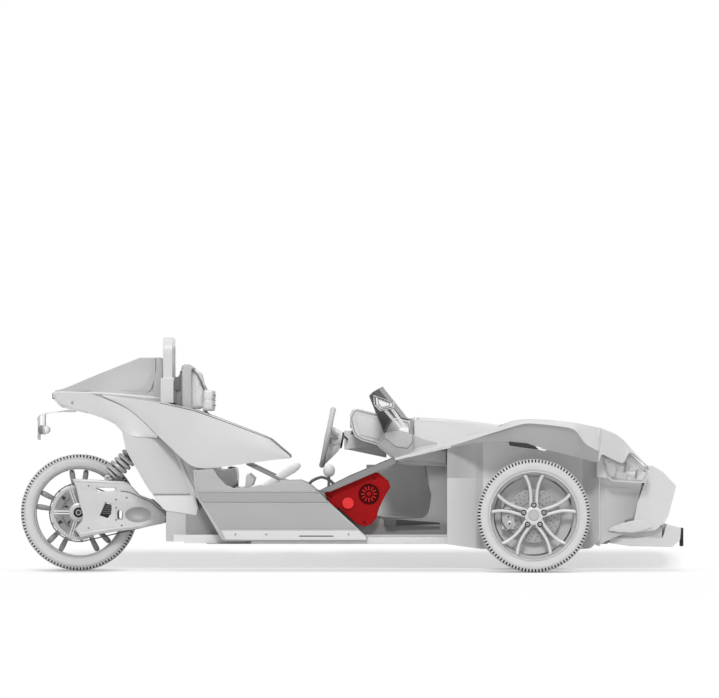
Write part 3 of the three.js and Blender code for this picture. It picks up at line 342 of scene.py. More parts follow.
# Metal turned about an axle: fine rings and faint streaks
@finish
def turned(tree, where, centre, level, rough, metal, rings=5200):
    radius, y = fromAxle(tree, where, centre)
    ring = sine(tree, radius * rings)
    streak = noise(tree, tree.node("ShaderNodeCombineXYZ", sockets={0: radius * 90, 1: y * 4, 2: 0}), 6, 4)
    shade = tones(tree, streak, level, 14, 10)
    rough = rough + streak * 0.12
    return {"Base Color": shade, "Metallic": metal, "Roughness": rough,
        "Normal": bumped(tree, ring, 0.00002)}


# Tyre rubber: mould lines round the sidewall; the tread gaps take a near-black tone, painted shade of the
# grooves
@finish
def rubber(tree, where, centre, level, gap, wall):
    radius = fromAxle(tree, where, centre)[0]
    line = sine(tree, radius * 900)
    fine = noise(tree, where, 260, 4)
    cloud = noise(tree, where, 9, 3)
    groove = tree.node("ShaderNodeAttribute", {"attribute_name": "groove"}, out=2)
    shade = blendColor(tree, groove, tones(tree, cloud, level, 6, 5), tone(gap))
    rib = ramp(tree, radius, wall[0], wall[1]) * ramp(tree, radius, wall[3], wall[2])
    rough = 0.72 + fine * 0.16
    return {"Base Color": shade, "Roughness": rough, "Normal": bumped(tree, line * rib * 0.3 + fine, 0.0005)}


# Woven cover: crossing yarns, with a painted highlight on their crowns
@finish
def woven(tree, where, level, yarn=2100):
    x, y, z = axes(tree, where)
    lean = x * 0.7 + z * 0.7
    weave = sine(tree, y * yarn) * sine(tree, lean * yarn) * 0.5 + 0.5
    fuzz = noise(tree, where, 800, 3)
    cloud = noise(tree, where, 5, 4)
    shade = tones(tree, cloud, level, 7, 5)
    shade = blendColor(tree, weave * 0.35, shade, tone(min(level + 22, 245)))
    return {
        "Base Color": shade, "Roughness": 0.85 + fuzz * 0.1, "Sheen Weight": 0.25,
        "Normal": bumped(tree, weave + fuzz * 0.5, 0.0004),
    }


# Clear or tinted pane, faintly smeared
@finish
def pane(tree, where, level, rough, alpha, coat=0.4, specular=0.5):
    smear = noise(tree, where, 14, 5, 0.6)
    return {
        "Base Color": tones(tree, smear, level, 5, 8), "Roughness": rough + smear * 0.08,
        "Alpha": alpha + (smear - 0.5) * 0.06, "Coat Weight": coat, "Specular IOR Level": specular,
    }


# Coloured lens with fine ribs
@finish
def lens(tree, where, dark, light, rough, ribs=1400, depth=0.0001):
    x, _, z = axes(tree, where)
    rib = sine(tree, (x + z) * ribs)
    cloud = noise(tree, where, 22, 3)
    return {
        "Base Color": blendColor(tree, cloud, dark, light), "Roughness": rough + cloud * 0.08,
        "Specular IOR Level": 0.12, "Normal": bumped(tree, rib, depth),
    }


# Side panel pressed in two parts: pale below the joint, darker above; these tones are partly painted light
# and shade under the fender, and under the arch and inboard a paler tone is painted light against the
# fender's shadow
@finish
def panelled(tree, where, joint, low, high, arch, under, inner):
    x, y, height = axes(tree, where)
    cloud = noise(tree, where, 3, 4)
    scuff = ramp(tree, noise(tree, where, 40, 6, 0.7), 0.6, 0.74)
    above = ramp(tree, height, joint - 0.0006, joint + 0.0006)
    along = x - rearAxle.x
    arched = ramp(tree, along, *under[:2]) * ramp(tree, along, *under[2:])
    shade = blendColor(tree, arched, tone(high), tone(arch))
    shade = blendColor(tree, above, tone(low), shade)
    inward = ramp(tree, y * y, 0.71 ** 2, 0.585 ** 2)
    shade = blendColor(tree, inward, shade, blendColor(tree, above, tone(250), tone(inner)))
    shade = blendColor(tree, cloud * 0.3, shade, tone(high - 12))
    shade = blendColor(tree, scuff * 0.14, shade, tone(240))
    pebble = pebbles(tree, where, 800)
    return {"Base Color": shade, "Roughness": 0.52 + scuff * 0.1, "Normal": bumped(tree, pebble, 0.00015)}


red = {
    "deep": (0.27, 0.003, 0.004, 1), "panel": (0.42, 0.004, 0.006, 1), "bright": (0.84, 0.03, 0.03, 1),
    "salmon": (0.9, 0.07, 0.07, 1), "ring": (0.055, 0.001, 0.001, 1), "mark": (0.62, 0.012, 0.014, 1),
}
paints = {
    "body": sprayed("bodyPaint", level=214, rough=0.34),
    "panel": sprayed("panelPaint", level=206, rough=0.36),
    # liner: the paler tone above 0.52 m is painted light against the shade under the lamp; it is darker
    # towards the front
    "liner": moulded("linerPlastic", level=208, rough=0.55, grain=600, depth=0.00012, zones=[
        (158, (0, 3.05, 3.29)), (226, (2, 0.46, 0.52))]),
    # tub: the paler tone near the middle is painted light against the shade on the tunnel and console; low
    # ahead of 1.74 m it is darker
    "tub": moulded("tubPlastic", level=158, rough=0.7, grain=420, spread=8, zones=[
        (158, (0, 1.68, 1.74)), (132, (0, 1.68, 1.74), (2, 0.3, 0.27)), (236, (1, 0.1, 0.05))]),
    "hood": sprayed("hoodPaint", level=199, rough=0.42),
    "tail": moulded("tailPlastic", level=187, rough=0.5, grain=800, depth=0.00012),
    "rockerTop": moulded("rockerTopPlastic", level=177, rough=0.5, grain=800, depth=0.00012, zones=[
        (165, (2, 0.469, 0.467))]),
    "cheek": moulded("cheekPlastic", level=176, rough=0.45, grain=700, zones=[(166, (0, 1.93, 1.88))]),
    "rockerMiddle": moulded("rockerMiddlePlastic", level=171, rough=0.55, grain=800, depth=0.00015),
    "rockerBottom": moulded("rockerBottomPlastic", level=219, rough=0.45, grain=800, depth=0.0001),
    "deck": sprayed("deckPaint", level=219, rough=0.42, peel=300),
    "shade": moulded("shadePlastic", level=178, rough=0.5),
    # flank: a dark grey; on the fender's flank it is painted shade
    "flank": moulded("flankPlastic", level=150, rough=0.55, grain=900, depth=0.00015),
    "rail": moulded("railPlastic", level=136, rough=0.6),
    # pale: near white; on the gear knob, brake grip and mirror it is partly painted light against the shade
    # they stand in
    "pale": moulded("palePlastic", level=246, rough=0.55),
    # tube: raised for the frame and the lower rear skin, partly painted light against the shade under the
    # rear body
    "tube": moulded("framePaint", level=228, rough=0.45, grain=1200, depth=0.00008),
    "trim": moulded("trimPlastic", level=186, rough=0.6, grain=520),
    "dark": moulded("darkPlastic", level=104, rough=0.7, grain=420, spread=8),
    "black": moulded("blackPlastic", level=30, rough=0.6, spread=5),
    "cast": cast("castMetal", level=206, rough=0.45),
    "forged": cast("forgedMetal", level=186, rough=0.4, metal=0.5, grain=1400, depth=0.00008),
    "spring": cast("springMetal", level=190, rough=0.4, metal=0.3, grain=1600, depth=0.00006),
    "dashboard": moulded("dashPlastic", level=212, rough=0.55, grain=560),
    # columnCover: paler than the dash, painted light against the cabin's shade on the column, its shroud and
    # the wheel's spokes
    "columnCover": moulded("columnPlastic", level=238, rough=0.6, grain=560),
    "screenGlass": pane("displayGlass", level=40, rough=0.08, alpha=0.98),
    "smoked": lens("smokedLens", dark=tone(120), light=tone(150), rough=0.25, ribs=1200, depth=0.0002),
    "chrome": cast("lampReflector", level=240, rough=0.16, metal=0.3, grain=200, depth=0.00001),
    "mesh": moulded("meshPlastic", level=74, rough=0.6, spread=6),
    "seatShell": moulded("seatShellPlastic", level=190, rough=0.6, grain=600),
    "leather": moulded("wheelLeather", level=206, rough=0.6, grain=480, depth=0.0004),
    "shield": cast("shieldMetal", level=196, rough=0.5, metal=0.1),
    # hollow: darker metal for the swingarm's dish, painted shade of the hollow
    "hollow": cast("hollowMetal", level=176, rough=0.5, metal=0.2),
    "bolt": cast("boltMetal", level=150, rough=0.35, metal=0.8, grain=2000, depth=0.00004),
    "seat": woven("seatCloth", level=230),
    "panelled": panelled("panelledPlastic", joint=0.549, low=236, high=196, arch=251,
    under=(2.3, 2.5, 3.03, 2.97), inner=252),
    "belt": woven("beltWebbing", level=120, yarn=3600),
    "screen": pane("tintedScreen", level=86, rough=0.1, alpha=0.8, coat=0, specular=0.08),
    "clear": pane("clearLens", level=246, rough=0.12, alpha=0.13),
    "mirror": cast("mirrorGlass", level=215, rough=0.05, metal=1, grain=60, depth=0.000001),
    "kick": lens("kickRed", dark=red["deep"], light=red["panel"], rough=0.5, ribs=900, depth=0.00006),
    "mark": lens("markRed", dark=red["mark"], light=red["bright"], rough=0.4),
    "salmon": lens("salmonRed", dark=red["bright"], light=red["salmon"], rough=0.5),
    "ring": lens("ringRed", dark=red["ring"], light=red["ring"], rough=0.7),
}
for end, centre, radius, spoke, rim in (("front", frontAxle["left"], 0.33, 214, 212),
        ("rear", rearAxle, 0.343, 150, 180)):
    walls = (radius - 0.052, radius - 0.047, radius - 0.026, radius - 0.02)
    paints[end + "Tyre"] = rubber(end + "Rubber", centre, level=212, gap=16, wall=walls)
    paints[end + "Disc"] = turned(end + "DiscSteel", centre, level=166, rough=0.4, metal=0.5)
    paints[end + "Spoke"] = cast(end + "SpokeMetal", level=spoke, rough=0.4, metal=0.2, grain=1500,
        depth=0.00005)
    paints[end + "Rim"] = turned(end + "RimMetal", centre, level=rim, rough=0.36, metal=0.3, rings=2600)
print("finishes made")

# Every CAD node gets its finish, and soft edges on its welded copy
nodePaints = {
    "body": ["rear_body", "roll_hoops", "nose", "splitter", "hood"],
    "panel": ["quarter_blade", "front_fender"], "cheek": ["cowl"],
    "shade": ["rocker_panel", "tail_cowl"], "panelled": ["front_side"], "tub": ["tub"],
    "trim": ["steering_wheel"], "pale": ["plate_bracket", "mirror"], "rail": ["cowl_rail"],
    "tube": ["frame"], "dashboard": ["dash"], "columnCover": ["steering_column"],
    "dark": ["gear_lever", "grille", "drive_belt"],
    "cast": ["engine", "swingarm", "knuckle", "lower_arm", "upper_arm"],
    "forged": ["steering_rack", "rear_shock", "sprocket"],
    "frontDisc": ["brake_disc"], "rearDisc": ["rear_disc"], "frontRim": ["front_rim"],
    "rearRim": ["rear_rim"],
    "frontTyre": ["front_tyre"], "rearTyre": ["rear_tyre"], "seat": ["seat"], "kick": ["kick_panel"],
    "smoked": ["tail_lamp"], "screen": ["windscreen"], "clear": ["headlamp"],
}
softEdges = {
    "tub": 1.5, "frame": 3, "engine": 6, "swingarm": 4, "knuckle": 3, "rocker_panel": 5, "rear_body": 6,
    "roll_hoops": 8, "cowl": 4, "dash": 8, "nose": 5, "splitter": 4, "tail_cowl": 6, "grille": 2,
    "kick_panel": 4,
    "cowl_rail": 4, "steering_column": 6, "plate_bracket": 1, "seat": 15, "headlamp": 4, "mirror": 4,
    "gear_lever": 1,
}


def softenNode(obj, width):
    weld = obj.modifiers.new("weld", "WELD")
    weld.merge_threshold = 0.00002
    bevel = obj.modifiers.new("soften", "BEVEL")
    bevel.width, bevel.segments, bevel.angle_limit = width / 1000, 2, math.radians(32)
    bevel.harden_normals = True


def sideless(name):
    return name.removesuffix("_left").removesuffix("_right")


for paintName, plainNames in nodePaints.items():
    for nodeName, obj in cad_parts.items():
        if sideless(nodeName) in plainNames:
            obj.data.materials.clear()
            obj.data.materials.append(paints[paintName])
            if sideless(nodeName) in softEdges:
                softenNode(obj, softEdges[sideless(nodeName)])
print("nodes dressed")


# Mesh helpers
def newObject(name, mesh):
    obj = bpy.data.objects.new(name, mesh)
    scene.collection.objects.link(obj)
    return obj


def smoothBy(obj, degrees=35):
    bm = bmesh.new()
    bm.from_mesh(obj.data)
    for face in bm.faces:
        face.smooth = True
    for edge in bm.edges:
        edge.smooth = len(edge.link_faces) == 2 and edge.calc_face_angle(0) < math.radians(degrees)
    bm.to_mesh(obj.data)
    bm.free()
    return obj


def meshOf(name, points, faces, closed=True):
    mesh = bpy.data.meshes.new(name)
    mesh.from_pydata([tuple(point) for point in points], [], faces)
    obj = newObject(name, mesh)
    return tidied(obj) if closed else obj


def tidied(obj, gap=0.00002):  # merged and facing out
    bm = bmesh.new()
    bm.from_mesh(obj.data)
    bmesh.ops.remove_doubles(bm, verts=bm.verts, dist=gap)
    bmesh.ops.dissolve_degenerate(bm, edges=bm.edges, dist=gap)
    bmesh.ops.recalc_face_normals(bm, faces=bm.faces)
    bm.to_mesh(obj.data)
    bm.free()
    return obj


def settled(obj):  # modifiers made real
    bpy.context.view_layer.update()
    evaluated = obj.evaluated_get(bpy.context.evaluated_depsgraph_get())
    mesh = bpy.data.meshes.new_from_object(evaluated)
    obj.modifiers.clear()
    if obj.type == "MESH":
        obj.data = mesh
        return obj
    name = obj.name
    bpy.data.objects.remove(obj)
    return newObject(name, mesh)


def rounded(obj, width, segments=2, degrees=32):
    bevel = obj.modifiers.new("round", "BEVEL")
    bevel.width, bevel.segments, bevel.angle_limit = width / 1000, segments, math.radians(degrees)
    bevel.harden_normals = False
    return smoothBy(settled(obj), 40)


# Flat outline in x and z, standing between y0 and y1, with rounded edges
def plate(name, outline, y0, y1, holes=(), edge=3, steps=2):
    curve = bpy.data.curves.new(name, "CURVE")
    curve.dimensions, curve.fill_mode = "2D", "BOTH"
    for points in (outline, *holes):
        spline = curve.splines.new("POLY")
        spline.points.add(len(points) - 1)
        spline.use_cyclic_u = True
        for point, (x, z) in zip(spline.points, points):
            where = at(x, 0, z)
            point.co = (where.x, where.z, 0, 1)
    edge = min(edge, (y1 - y0) * 0.45) / 1000
    curve.extrude = (y1 - y0) / 2000 - edge
    curve.bevel_depth, curve.bevel_resolution, curve.offset = edge, steps, -edge
    obj = settled(newObject(name, curve))
    turn = Matrix.Translation((0, (y0 + y1) / 2000, 0)) @ Matrix.Rotation(math.radians(90), 4, "X")
    obj.data.transform(turn)
    return smoothBy(tidied(obj), 40)


def loft(name, rings, caps=True, loop=True):
    points = [point for ring in rings for point in ring]
    wide = len(rings[0])
    steps = wide if loop else wide - 1
    faces = []
    for row in range(len(rings) - 1):
        for i in range(steps):
            a, b = row * wide + i, row * wide + (i + 1) % wide
            faces.append((a, b, b + wide, a + wide))
    if caps:
        faces.append(tuple(range(wide))[::-1])
        faces.append(tuple((len(rings) - 1) * wide + i for i in range(wide)))
    return meshOf(name, points, faces, closed=caps)


# Ring turned about the y axis at a centre; profile holds radius and y
def turnedShape(name, profile, centre, steps=96, closed=True):
    rings = []
    for angle in angles(steps):
        rings.append([
            Vector((centre.x + r / 1000 * math.cos(angle), y / 1000, centre.z + r / 1000 * math.sin(angle)))
            for r, y in profile
        ])
    points = [point for ring in rings for point in ring]
    wide = len(profile)
    faces = []
    for row in range(steps):
        after = (row + 1) % steps
        for i in range(wide if closed else wide - 1):
            a, b = row * wide + i, row * wide + (i + 1) % wide
            c, d = after * wide + (i + 1) % wide, after * wide + i
            faces.append((a, b, c, d))
    return smoothBy(meshOf(name, points, faces), 34)


def rod(name, points, radius, sides=12, smoothPath=False):
    curve = bpy.data.curves.new(name, "CURVE")
    curve.dimensions = "3D"
    spline = curve.splines.new("NURBS" if smoothPath else "POLY")
    spline.points.add(len(points) - 1)
    for target, point in zip(spline.points, points):
        target.co = (*point, 1)
    if smoothPath:
        spline.use_endpoint_u, spline.order_u, spline.resolution_u = True, 3, 6
    curve.bevel_depth, curve.bevel_resolution, curve.use_fill_caps = radius / 1000, max(sides // 4 - 1,
        1), True
    return smoothBy(tidied(settled(newObject(name, curve))), 50)


def closedPath(points):
    return points + points[:1]


def angles(count):  # once round in even steps
    return [2 * math.pi * i / count for i in range(count)]


def box(name, low, high, edge=0):
    points = [at(x, y, z) for x in (low[0], high[0]) for y in (low[1], high[1]) for z in (low[2], high[2])]
    faces = [(0, 1, 3, 2), (4, 6, 7, 5), (0, 4, 5, 1), (2, 3, 7, 6), (0, 2, 6, 4), (1, 5, 7, 3)]
    obj = meshOf(name, points, faces)
    return rounded(obj, edge) if edge else obj


def merged(name, parts):
    bm = bmesh.new()
    slots = []
    for part in parts:
        offset = len(bm.faces)
        bm.from_mesh(part.data)
        bm.faces.ensure_lookup_table()
        own = list(part.data.materials)
        for face in bm.faces[offset:]:
            paint = own[face.material_index] if own else None
            if paint not in slots:
                slots.append(paint)
            face.material_index = slots.index(paint)
        bpy.data.objects.remove(part)
    mesh = bpy.data.meshes.new(name)
    bm.to_mesh(mesh)
    bm.free()
    for paint in slots:
        mesh.materials.append(paint)
    return newObject(name, mesh)


def mirrored(obj, name):
    copy = newObject(name, obj.data.copy())
    copy.data.transform(Matrix.Diagonal((1, -1, 1, 1)))
    copy.data.flip_normals()
    return copy


def outwards(obj, centre, side):  # set on its axle, facing the side given by its sign
    turn = Matrix.Rotation(math.pi, 4, "Z") if side > 0 else Matrix.Identity(4)
    obj.data.transform(Matrix.Translation(centre) @ turn)
    return obj


def painted(obj, paint):
    obj.data.materials.clear()
    obj.data.materials.append(paints[paint])
    return obj


class Parts(list):  # the parts of one piece, each with its paint
    def add(self, paint, part):
        self.append(painted(part, paint))


def fit(obj, body, slotName, *nodes):  # the piece rides, and stands for CAD nodes
    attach(obj, body)
    if nodes:
        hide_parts(*nodes)
    return obj


# Geometry Nodes: one source shape repeated about an axle, or along a step
def newNodes(name, inputs):
    nodeTree = bpy.data.node_groups.new(name, "GeometryNodeTree")
    nodeTree.is_modifier = True
    nodeTree.interface.new_socket("Geometry", in_out="INPUT", socket_type="NodeSocketGeometry")
    for label, kind, value in inputs:
        made = nodeTree.interface.new_socket(label, in_out="INPUT", socket_type="NodeSocket" + kind)
        if value is not None:
            made.default_value = value
    nodeTree.interface.new_socket("Geometry", in_out="OUTPUT", socket_type="NodeSocketGeometry")
    tree = Tree(nodeTree)
    return nodeTree, tree, tree.node("NodeGroupInput")


def closeNodes(tree, start, instances):
    real = tree.node("GeometryNodeRealizeInstances", sockets={0: instances})
    named = tree.node("GeometryNodeSetMaterial",
        sockets={"Geometry": real, "Material": tree.pick(start, "Material")})
    tree.node("NodeGroupOutput", sockets={"Geometry": named})


def makeRoundTree():
    inputs = [("Count", "Int", 5), ("Start", "Float", 0.0), ("Centre", "Vector", None),
        ("Material", "Material", None)]
    nodeTree, tree, start = newNodes("repeatRoundAxle", inputs)
    count = tree.pick(start, "Count")
    index = tree.node("GeometryNodeInputIndex")
    angle = index / count * (2 * math.pi) + tree.pick(start, "Start")
    turn = tree.node("ShaderNodeCombineXYZ", sockets={1: angle})
    spots = tree.node("GeometryNodePoints", sockets={"Count": count})
    copies = tree.node("GeometryNodeInstanceOnPoints", sockets={
        "Points": spots, "Instance": tree.pick(start, "Geometry"), "Rotation": turn,
    })
    moved = tree.node("GeometryNodeTranslateInstances", sockets={
        "Instances": copies, "Translation": tree.pick(start, "Centre"), "Local Space": False,
    })
    closeNodes(tree, start, moved)
    return nodeTree


def makeRowTree():
    inputs = [("Count", "Int", 5), ("Step", "Vector", None), ("Material", "Material", None)]
    nodeTree, tree, start = newNodes("repeatInRow", inputs)
    index = tree.node("GeometryNodeInputIndex")
    spots = tree.node("GeometryNodePoints", sockets={"Count": tree.pick(start, "Count")})
    shift = tree.node("ShaderNodeVectorMath", {"operation": "SCALE"},
        {"Vector": tree.pick(start, "Step"), "Scale": index})
    placed = tree.node("GeometryNodeSetPosition", sockets={"Geometry": spots, "Position": shift})
    copies = tree.node("GeometryNodeInstanceOnPoints",
        sockets={"Points": placed, "Instance": tree.pick(start, "Geometry")})
    closeNodes(tree, start, copies)
    return nodeTree


# Heads of screws: one on each point of a mesh, facing along the point's normal
def makeScrewTree():
    inputs = [("Radius", "Float", 0.005), ("Height", "Float", 0.003), ("Material", "Material", None)]
    nodeTree, tree, start = newNodes("screwOnPoint", inputs)
    radius, height = tree.pick(start, "Radius"), tree.pick(start, "Height")
    head = tree.node("GeometryNodeMeshCylinder", {"fill_type": "NGON"},
        {"Vertices": 12, "Radius": radius, "Depth": height})
    cap = tree.node("GeometryNodeMeshCylinder", {"fill_type": "NGON"}, {
        "Vertices": 6, "Radius": radius * 0.55, "Depth": height * 1.7,
    })
    both = tree.node("GeometryNodeJoinGeometry")
    for part in (head, cap):
        tree.links.new(part.socket, both.socket.node.inputs[0])
    normal = tree.node("GeometryNodeInputNamedAttribute", {"data_type": "FLOAT_VECTOR"}, {"Name": "facing"})
    turn = tree.node("FunctionNodeAlignRotationToVector", {"axis": "Z"}, {"Vector": normal})
    copies = tree.node("GeometryNodeInstanceOnPoints", sockets={
        "Points": tree.pick(start, "Geometry"), "Instance": both, "Rotation": turn,
    })
    closeNodes(tree, start, copies)
    return nodeTree


nodeTrees = {"round": makeRoundTree(), "row": makeRowTree(), "screw": makeScrewTree()}


def grown(obj, treeName, values, paint):
    nodeTree = nodeTrees[treeName]
    modifier = obj.modifiers.new(treeName, "NODES")
    modifier.node_group = nodeTree
    values = {**values, "Material": paints[paint]}
    for item in nodeTree.interface.items_tree:
        if item.in_out == "INPUT" and item.name in values:
            modifier[item.identifier] = values[item.name]
    return settled(obj)


def aroundAxle(obj, count, start, centre, paint):
    values = {"Count": count, "Start": math.radians(start), "Centre": (centre.x, centre.y, centre.z)}
    return grown(obj, "round", values, paint)


def inRow(obj, count, step, paint):
    return grown(obj, "row", {"Count": count, "Step": [value / 1000 for value in step]}, paint)


def screws(name, spots, radius=5, height=3, paint="bolt"):  # spots: (point, facing)
    mesh = bpy.data.meshes.new(name)
    mesh.from_pydata([tuple(point) for point, _ in spots], [], [])
    facing = mesh.attributes.new("facing", "FLOAT_VECTOR", "POINT")
    facing.data.foreach_set("vector", [value for _, normal in spots for value in normal])
    obj = newObject(name, mesh)
    return smoothBy(grown(obj, "screw", {"Radius": radius / 1000, "Height": height / 1000}, paint), 35)


print("helpers ready")

# Wheels, made about the origin with the outer face towards -y, then set on their axles
tyreShapes = {
    "front": {"radius": 330, "width": 225, "rim": 262, "lugs": 102, "paint": "frontTyre"},
    "rear": {"radius": 343, "width": 255, "rim": 264, "lugs": 106, "paint": "rearTyre"},
}


def carcass(shape):  # radius and y round the section
    radius, half, rim = shape["radius"], shape["width"] / 2, shape["rim"]
    side = radius - rim
    rise = [
        (0, 0.84), (0.04, 0.885), (0.10, 0.91), (0.14, 0.945), (0.2, 0.955), (0.3, 0.975), (0.42, 0.99),
        (0.55, 0.99), (0.62, 0.975), (0.67, 0.945), (0.73, 0.905), (0.80, 0.86), (0.86, 0.79), (0.90, 0.68),
        (0.925, 0.5), (0.93, 0),
    ]
    profile = [(rim - 10, 0.8 * half)] + [(rim + share * side, wide * half) for share, wide in rise]
    return profile + [(r, -y) for r, y in profile[-2::-1]]


# One lug: a section of depth and share of the half width, as wide as part of the pitch
def lugShape(shape, section, share, count, lean=0):
    radius, half = shape["radius"], shape["width"] / 2
    pitch = 2 * math.pi / count
    ends = []
    for end in (-share, share):
        ring = []
        for depth, wide in section:
            angle = (end + lean * (0.9 - abs(wide))) * pitch
            out = (radius - depth) / 1000
            ring.append(Vector((out * math.sin(angle), wide * half / 1000, out * math.cos(angle))))
        ends.append(ring)
    return loft("lug", ends)


lugSections = {
    "shoulder": [(23, 0.97), (16, 0.955), (8, 0.89), (3, 0.81), (0.8, 0.7), (0, 0.56), (9, 0.54),
    (21, 0.84)],
    "middle": [(0.3, 0.5), (0, 0.08), (7, 0.08), (7, 0.5)],
}


def tyrePiece(name, shape, centre, yShift):
    profile = carcass(shape)
    body = turnedShape(name, [(r, y + yShift) for r, y in profile], centre, 144)
    painted(body, shape["paint"])
    spot = Vector((centre.x, yShift / 1000, centre.z))
    bodyCount = len(body.data.vertices)
    parts = [body]
    for side in (-1, 1):
        for part, count, share, lean in (("shoulder", shape["lugs"], 0.26, 0),
                ("middle", shape["lugs"] // 2, 0.36, 1.6)):
            section = [(depth, side * wide) for depth, wide in lugSections[part]]
            lug = lugShape(shape, section, share, count, lean)
            parts.append(aroundAxle(lug, count, 0, spot, shape["paint"]))
    tyre = smoothBy(merged(name, parts), 40)
    # the tread gaps round the carcass are marked for their painted shade
    groove = tyre.data.attributes.new("groove", "FLOAT", "POINT")
    deep = []
    for vertex in tyre.data.vertices:
        out = math.hypot(vertex.co.x - centre.x, vertex.co.z - centre.z) * 1000
        deep.append(1.0 if vertex.index < bodyCount and out > shape["radius"] - 20 else 0.0)
    groove.data.foreach_set("value", deep)
    return tyre


# One rim spoke: stations give radius, degrees off the pair's middle, half width and face height
rimShapes = {
    "front": {
        "rim": 262, "lip": 98, "drop": 28, "edge": 13, "hub": 55, "paint": "frontRim", "spoke": "frontSpoke",
        "arms": [
            (44, 24, 13, 66), (66, 15.5, 11, 71), (100, 9.6, 10, 73), (150, 7.2, 9.6, 74),
            (195, 8.8, 9.8, 76), (228, 11.2, 10.5, 80), (250, 13, 13, 85),
        ],
    },
    "rear": {
        "rim": 264, "lip": 111, "drop": 8, "edge": 6, "hub": 74, "paint": "rearRim", "spoke": "rearSpoke",
        "arms": [(60, 12, 9, 62), (120, 10.8, 11, 70), (190, 10.2, 14.5, 74), (262, 9.9, 20, 84)],
    },
}


def spokeShape(shape, side):
    rings = []
    for radius, offset, half, face in shape["arms"]:
        angle = math.radians(side * offset)
        out = Vector((math.sin(angle), 0, math.cos(angle)))
        across = Vector((math.cos(angle), 0, -math.sin(angle)))
        centre = out * radius
        section = [(-1, -26), (-1.05, -8), (-0.72, -1.5), (-0.3, 0), (0.3, 0), (0.72, -1.5), (1.05, -8),
            (1, -26), (0.5, -30), (-0.5, -30)]
        rings.append([(centre + across * half * wide + Vector((0, -(face + deep), 0))) / 1000
            for wide, deep in section])
    arm = loft("spoke", rings)
    smooth = arm.modifiers.new("smooth", "SUBSURF")
    smooth.levels = smooth.render_levels = 1
    return smoothBy(settled(arm), 40)


def rimPiece(name, shape, centre, outward, hubBack, hubFront):
    spot = origin
    lip, rim = shape["lip"], shape["rim"] - 1
    drop = shape["drop"]  # depth of the well between the bead seats
    edge = shape["edge"]
    barrel = [
        (rim, -lip), (rim, -lip + 8), (rim - edge / 3, -lip + 14), (rim - edge / 2, -50),
        (rim - drop + 4, -34), (rim - drop + 4, 20),
        (rim - edge / 2, 44), (rim - edge / 3, lip - 14), (rim, lip - 8), (rim, lip), (rim - 2, lip + 3),
        (rim - edge / 2, lip + 3),
        (rim - edge, lip - 8), (rim - edge - 1, 40), (rim - drop, 20), (rim - drop, -34),
        (rim - edge - 1, -50), (rim - edge, -lip + 20),
        (rim - edge * 0.7, -lip + 3), (rim - edge / 2, -lip - 3), (rim - 2, -lip - 3),
    ]
    parts = Parts([painted(turnedShape("barrel", barrel, spot, 120), shape["paint"])])
    for side in (-1, 1):
        parts.append(aroundAxle(spokeShape(shape, side), 5, 0, spot, shape["spoke"]))
    hub = [
        (30, hubBack), (shape["hub"], hubBack), (shape["hub"], -hubFront + 12),
        (shape["hub"] - 3, -hubFront + 3),
        (shape["hub"] - 10, -hubFront), (38, -hubFront), (34, -hubFront + 3),
        (30, -hubFront + 6), (30, -hubFront + 12),
    ]
    parts.add(shape["spoke"], turnedShape("hub", hub, spot, 60))
    lobe = turnedShape("lobe", [(0.01, hubBack), (19, hubBack), (19, -hubFront + 10), (15, -hubFront + 2),
        (0.01, -hubFront + 1)], spot, 24)
    lobe.data.transform(Matrix.Translation((0, 0, 0.062)))
    parts.append(aroundAxle(lobe, 5, 0, spot, shape["spoke"]))
    cover = [(0.01, -hubFront + 2), (12, -hubFront + 1.5), (24, -hubFront + 3), (29.7, -hubFront + 8),
        (29.7, -hubFront + 16), (0.01, -hubFront + 16)]
    parts.add("trim", turnedShape("hubCover", cover, spot, 48))
    return outwards(merged(name, parts), centre, outward)


def wheelNuts(name, centre, outward, circle, hubFront):
    ring = [(r, -hubFront - y) for r, y in ((16.5, 0.5), (16.5, 6), (15, 8), (10.6, 8), (9.6, 6),
        (9.6, 0.5))]
    collar = painted(turnedShape("collar", ring, origin, 24), "black")
    cap = [(0.01, 11), (5.6, 11), (8.8, 9), (8.8, 0.5), (0.01, 0.5)]
    nut = turnedShape("nut", [(r, -hubFront - y) for r, y in cap], origin, 6)
    dot = turnedShape("dot", [(0.01, -hubFront - 11.6), (3.4, -hubFront - 11.6), (3.4, -hubFront - 8),
        (0.01, -hubFront - 8)],
        origin, 6)
    parts = []
    for part, paint in ((collar, "black"), (nut, "trim"), (dot, "black")):
        part.data.transform(Matrix.Translation((0, 0, circle / 1000)))
        parts.append(aroundAxle(part, 5, 0, origin, paint))
    return outwards(merged(name, parts), centre, outward)


for side, sign in bothSides:
    centre = frontAxle[side]
    body = f"wheel_{side}"
    fit(tyrePiece(f"tyre_{side}", tyreShapes["front"], centre, centre.y * 1000), body, "tyres",
        f"front_tyre_{side}")
    fit(rimPiece(f"rim_{side}", rimShapes["front"], centre, sign, -30, 78), body, "rims",
        f"front_rim_{side}")
    fit(wheelNuts(f"wheelNuts_{side}", centre, sign, 62, 72), body, "steel")
fit(tyrePiece("tyre_rear", tyreShapes["rear"], rearAxle, 0), "rear_wheel", "tyres", "rear_tyre")
fit(rimPiece("rim_rear", rimShapes["rear"], rearAxle, -1, 78, 78), "rear_wheel", "rims", "rear_rim")
print("wheels made")


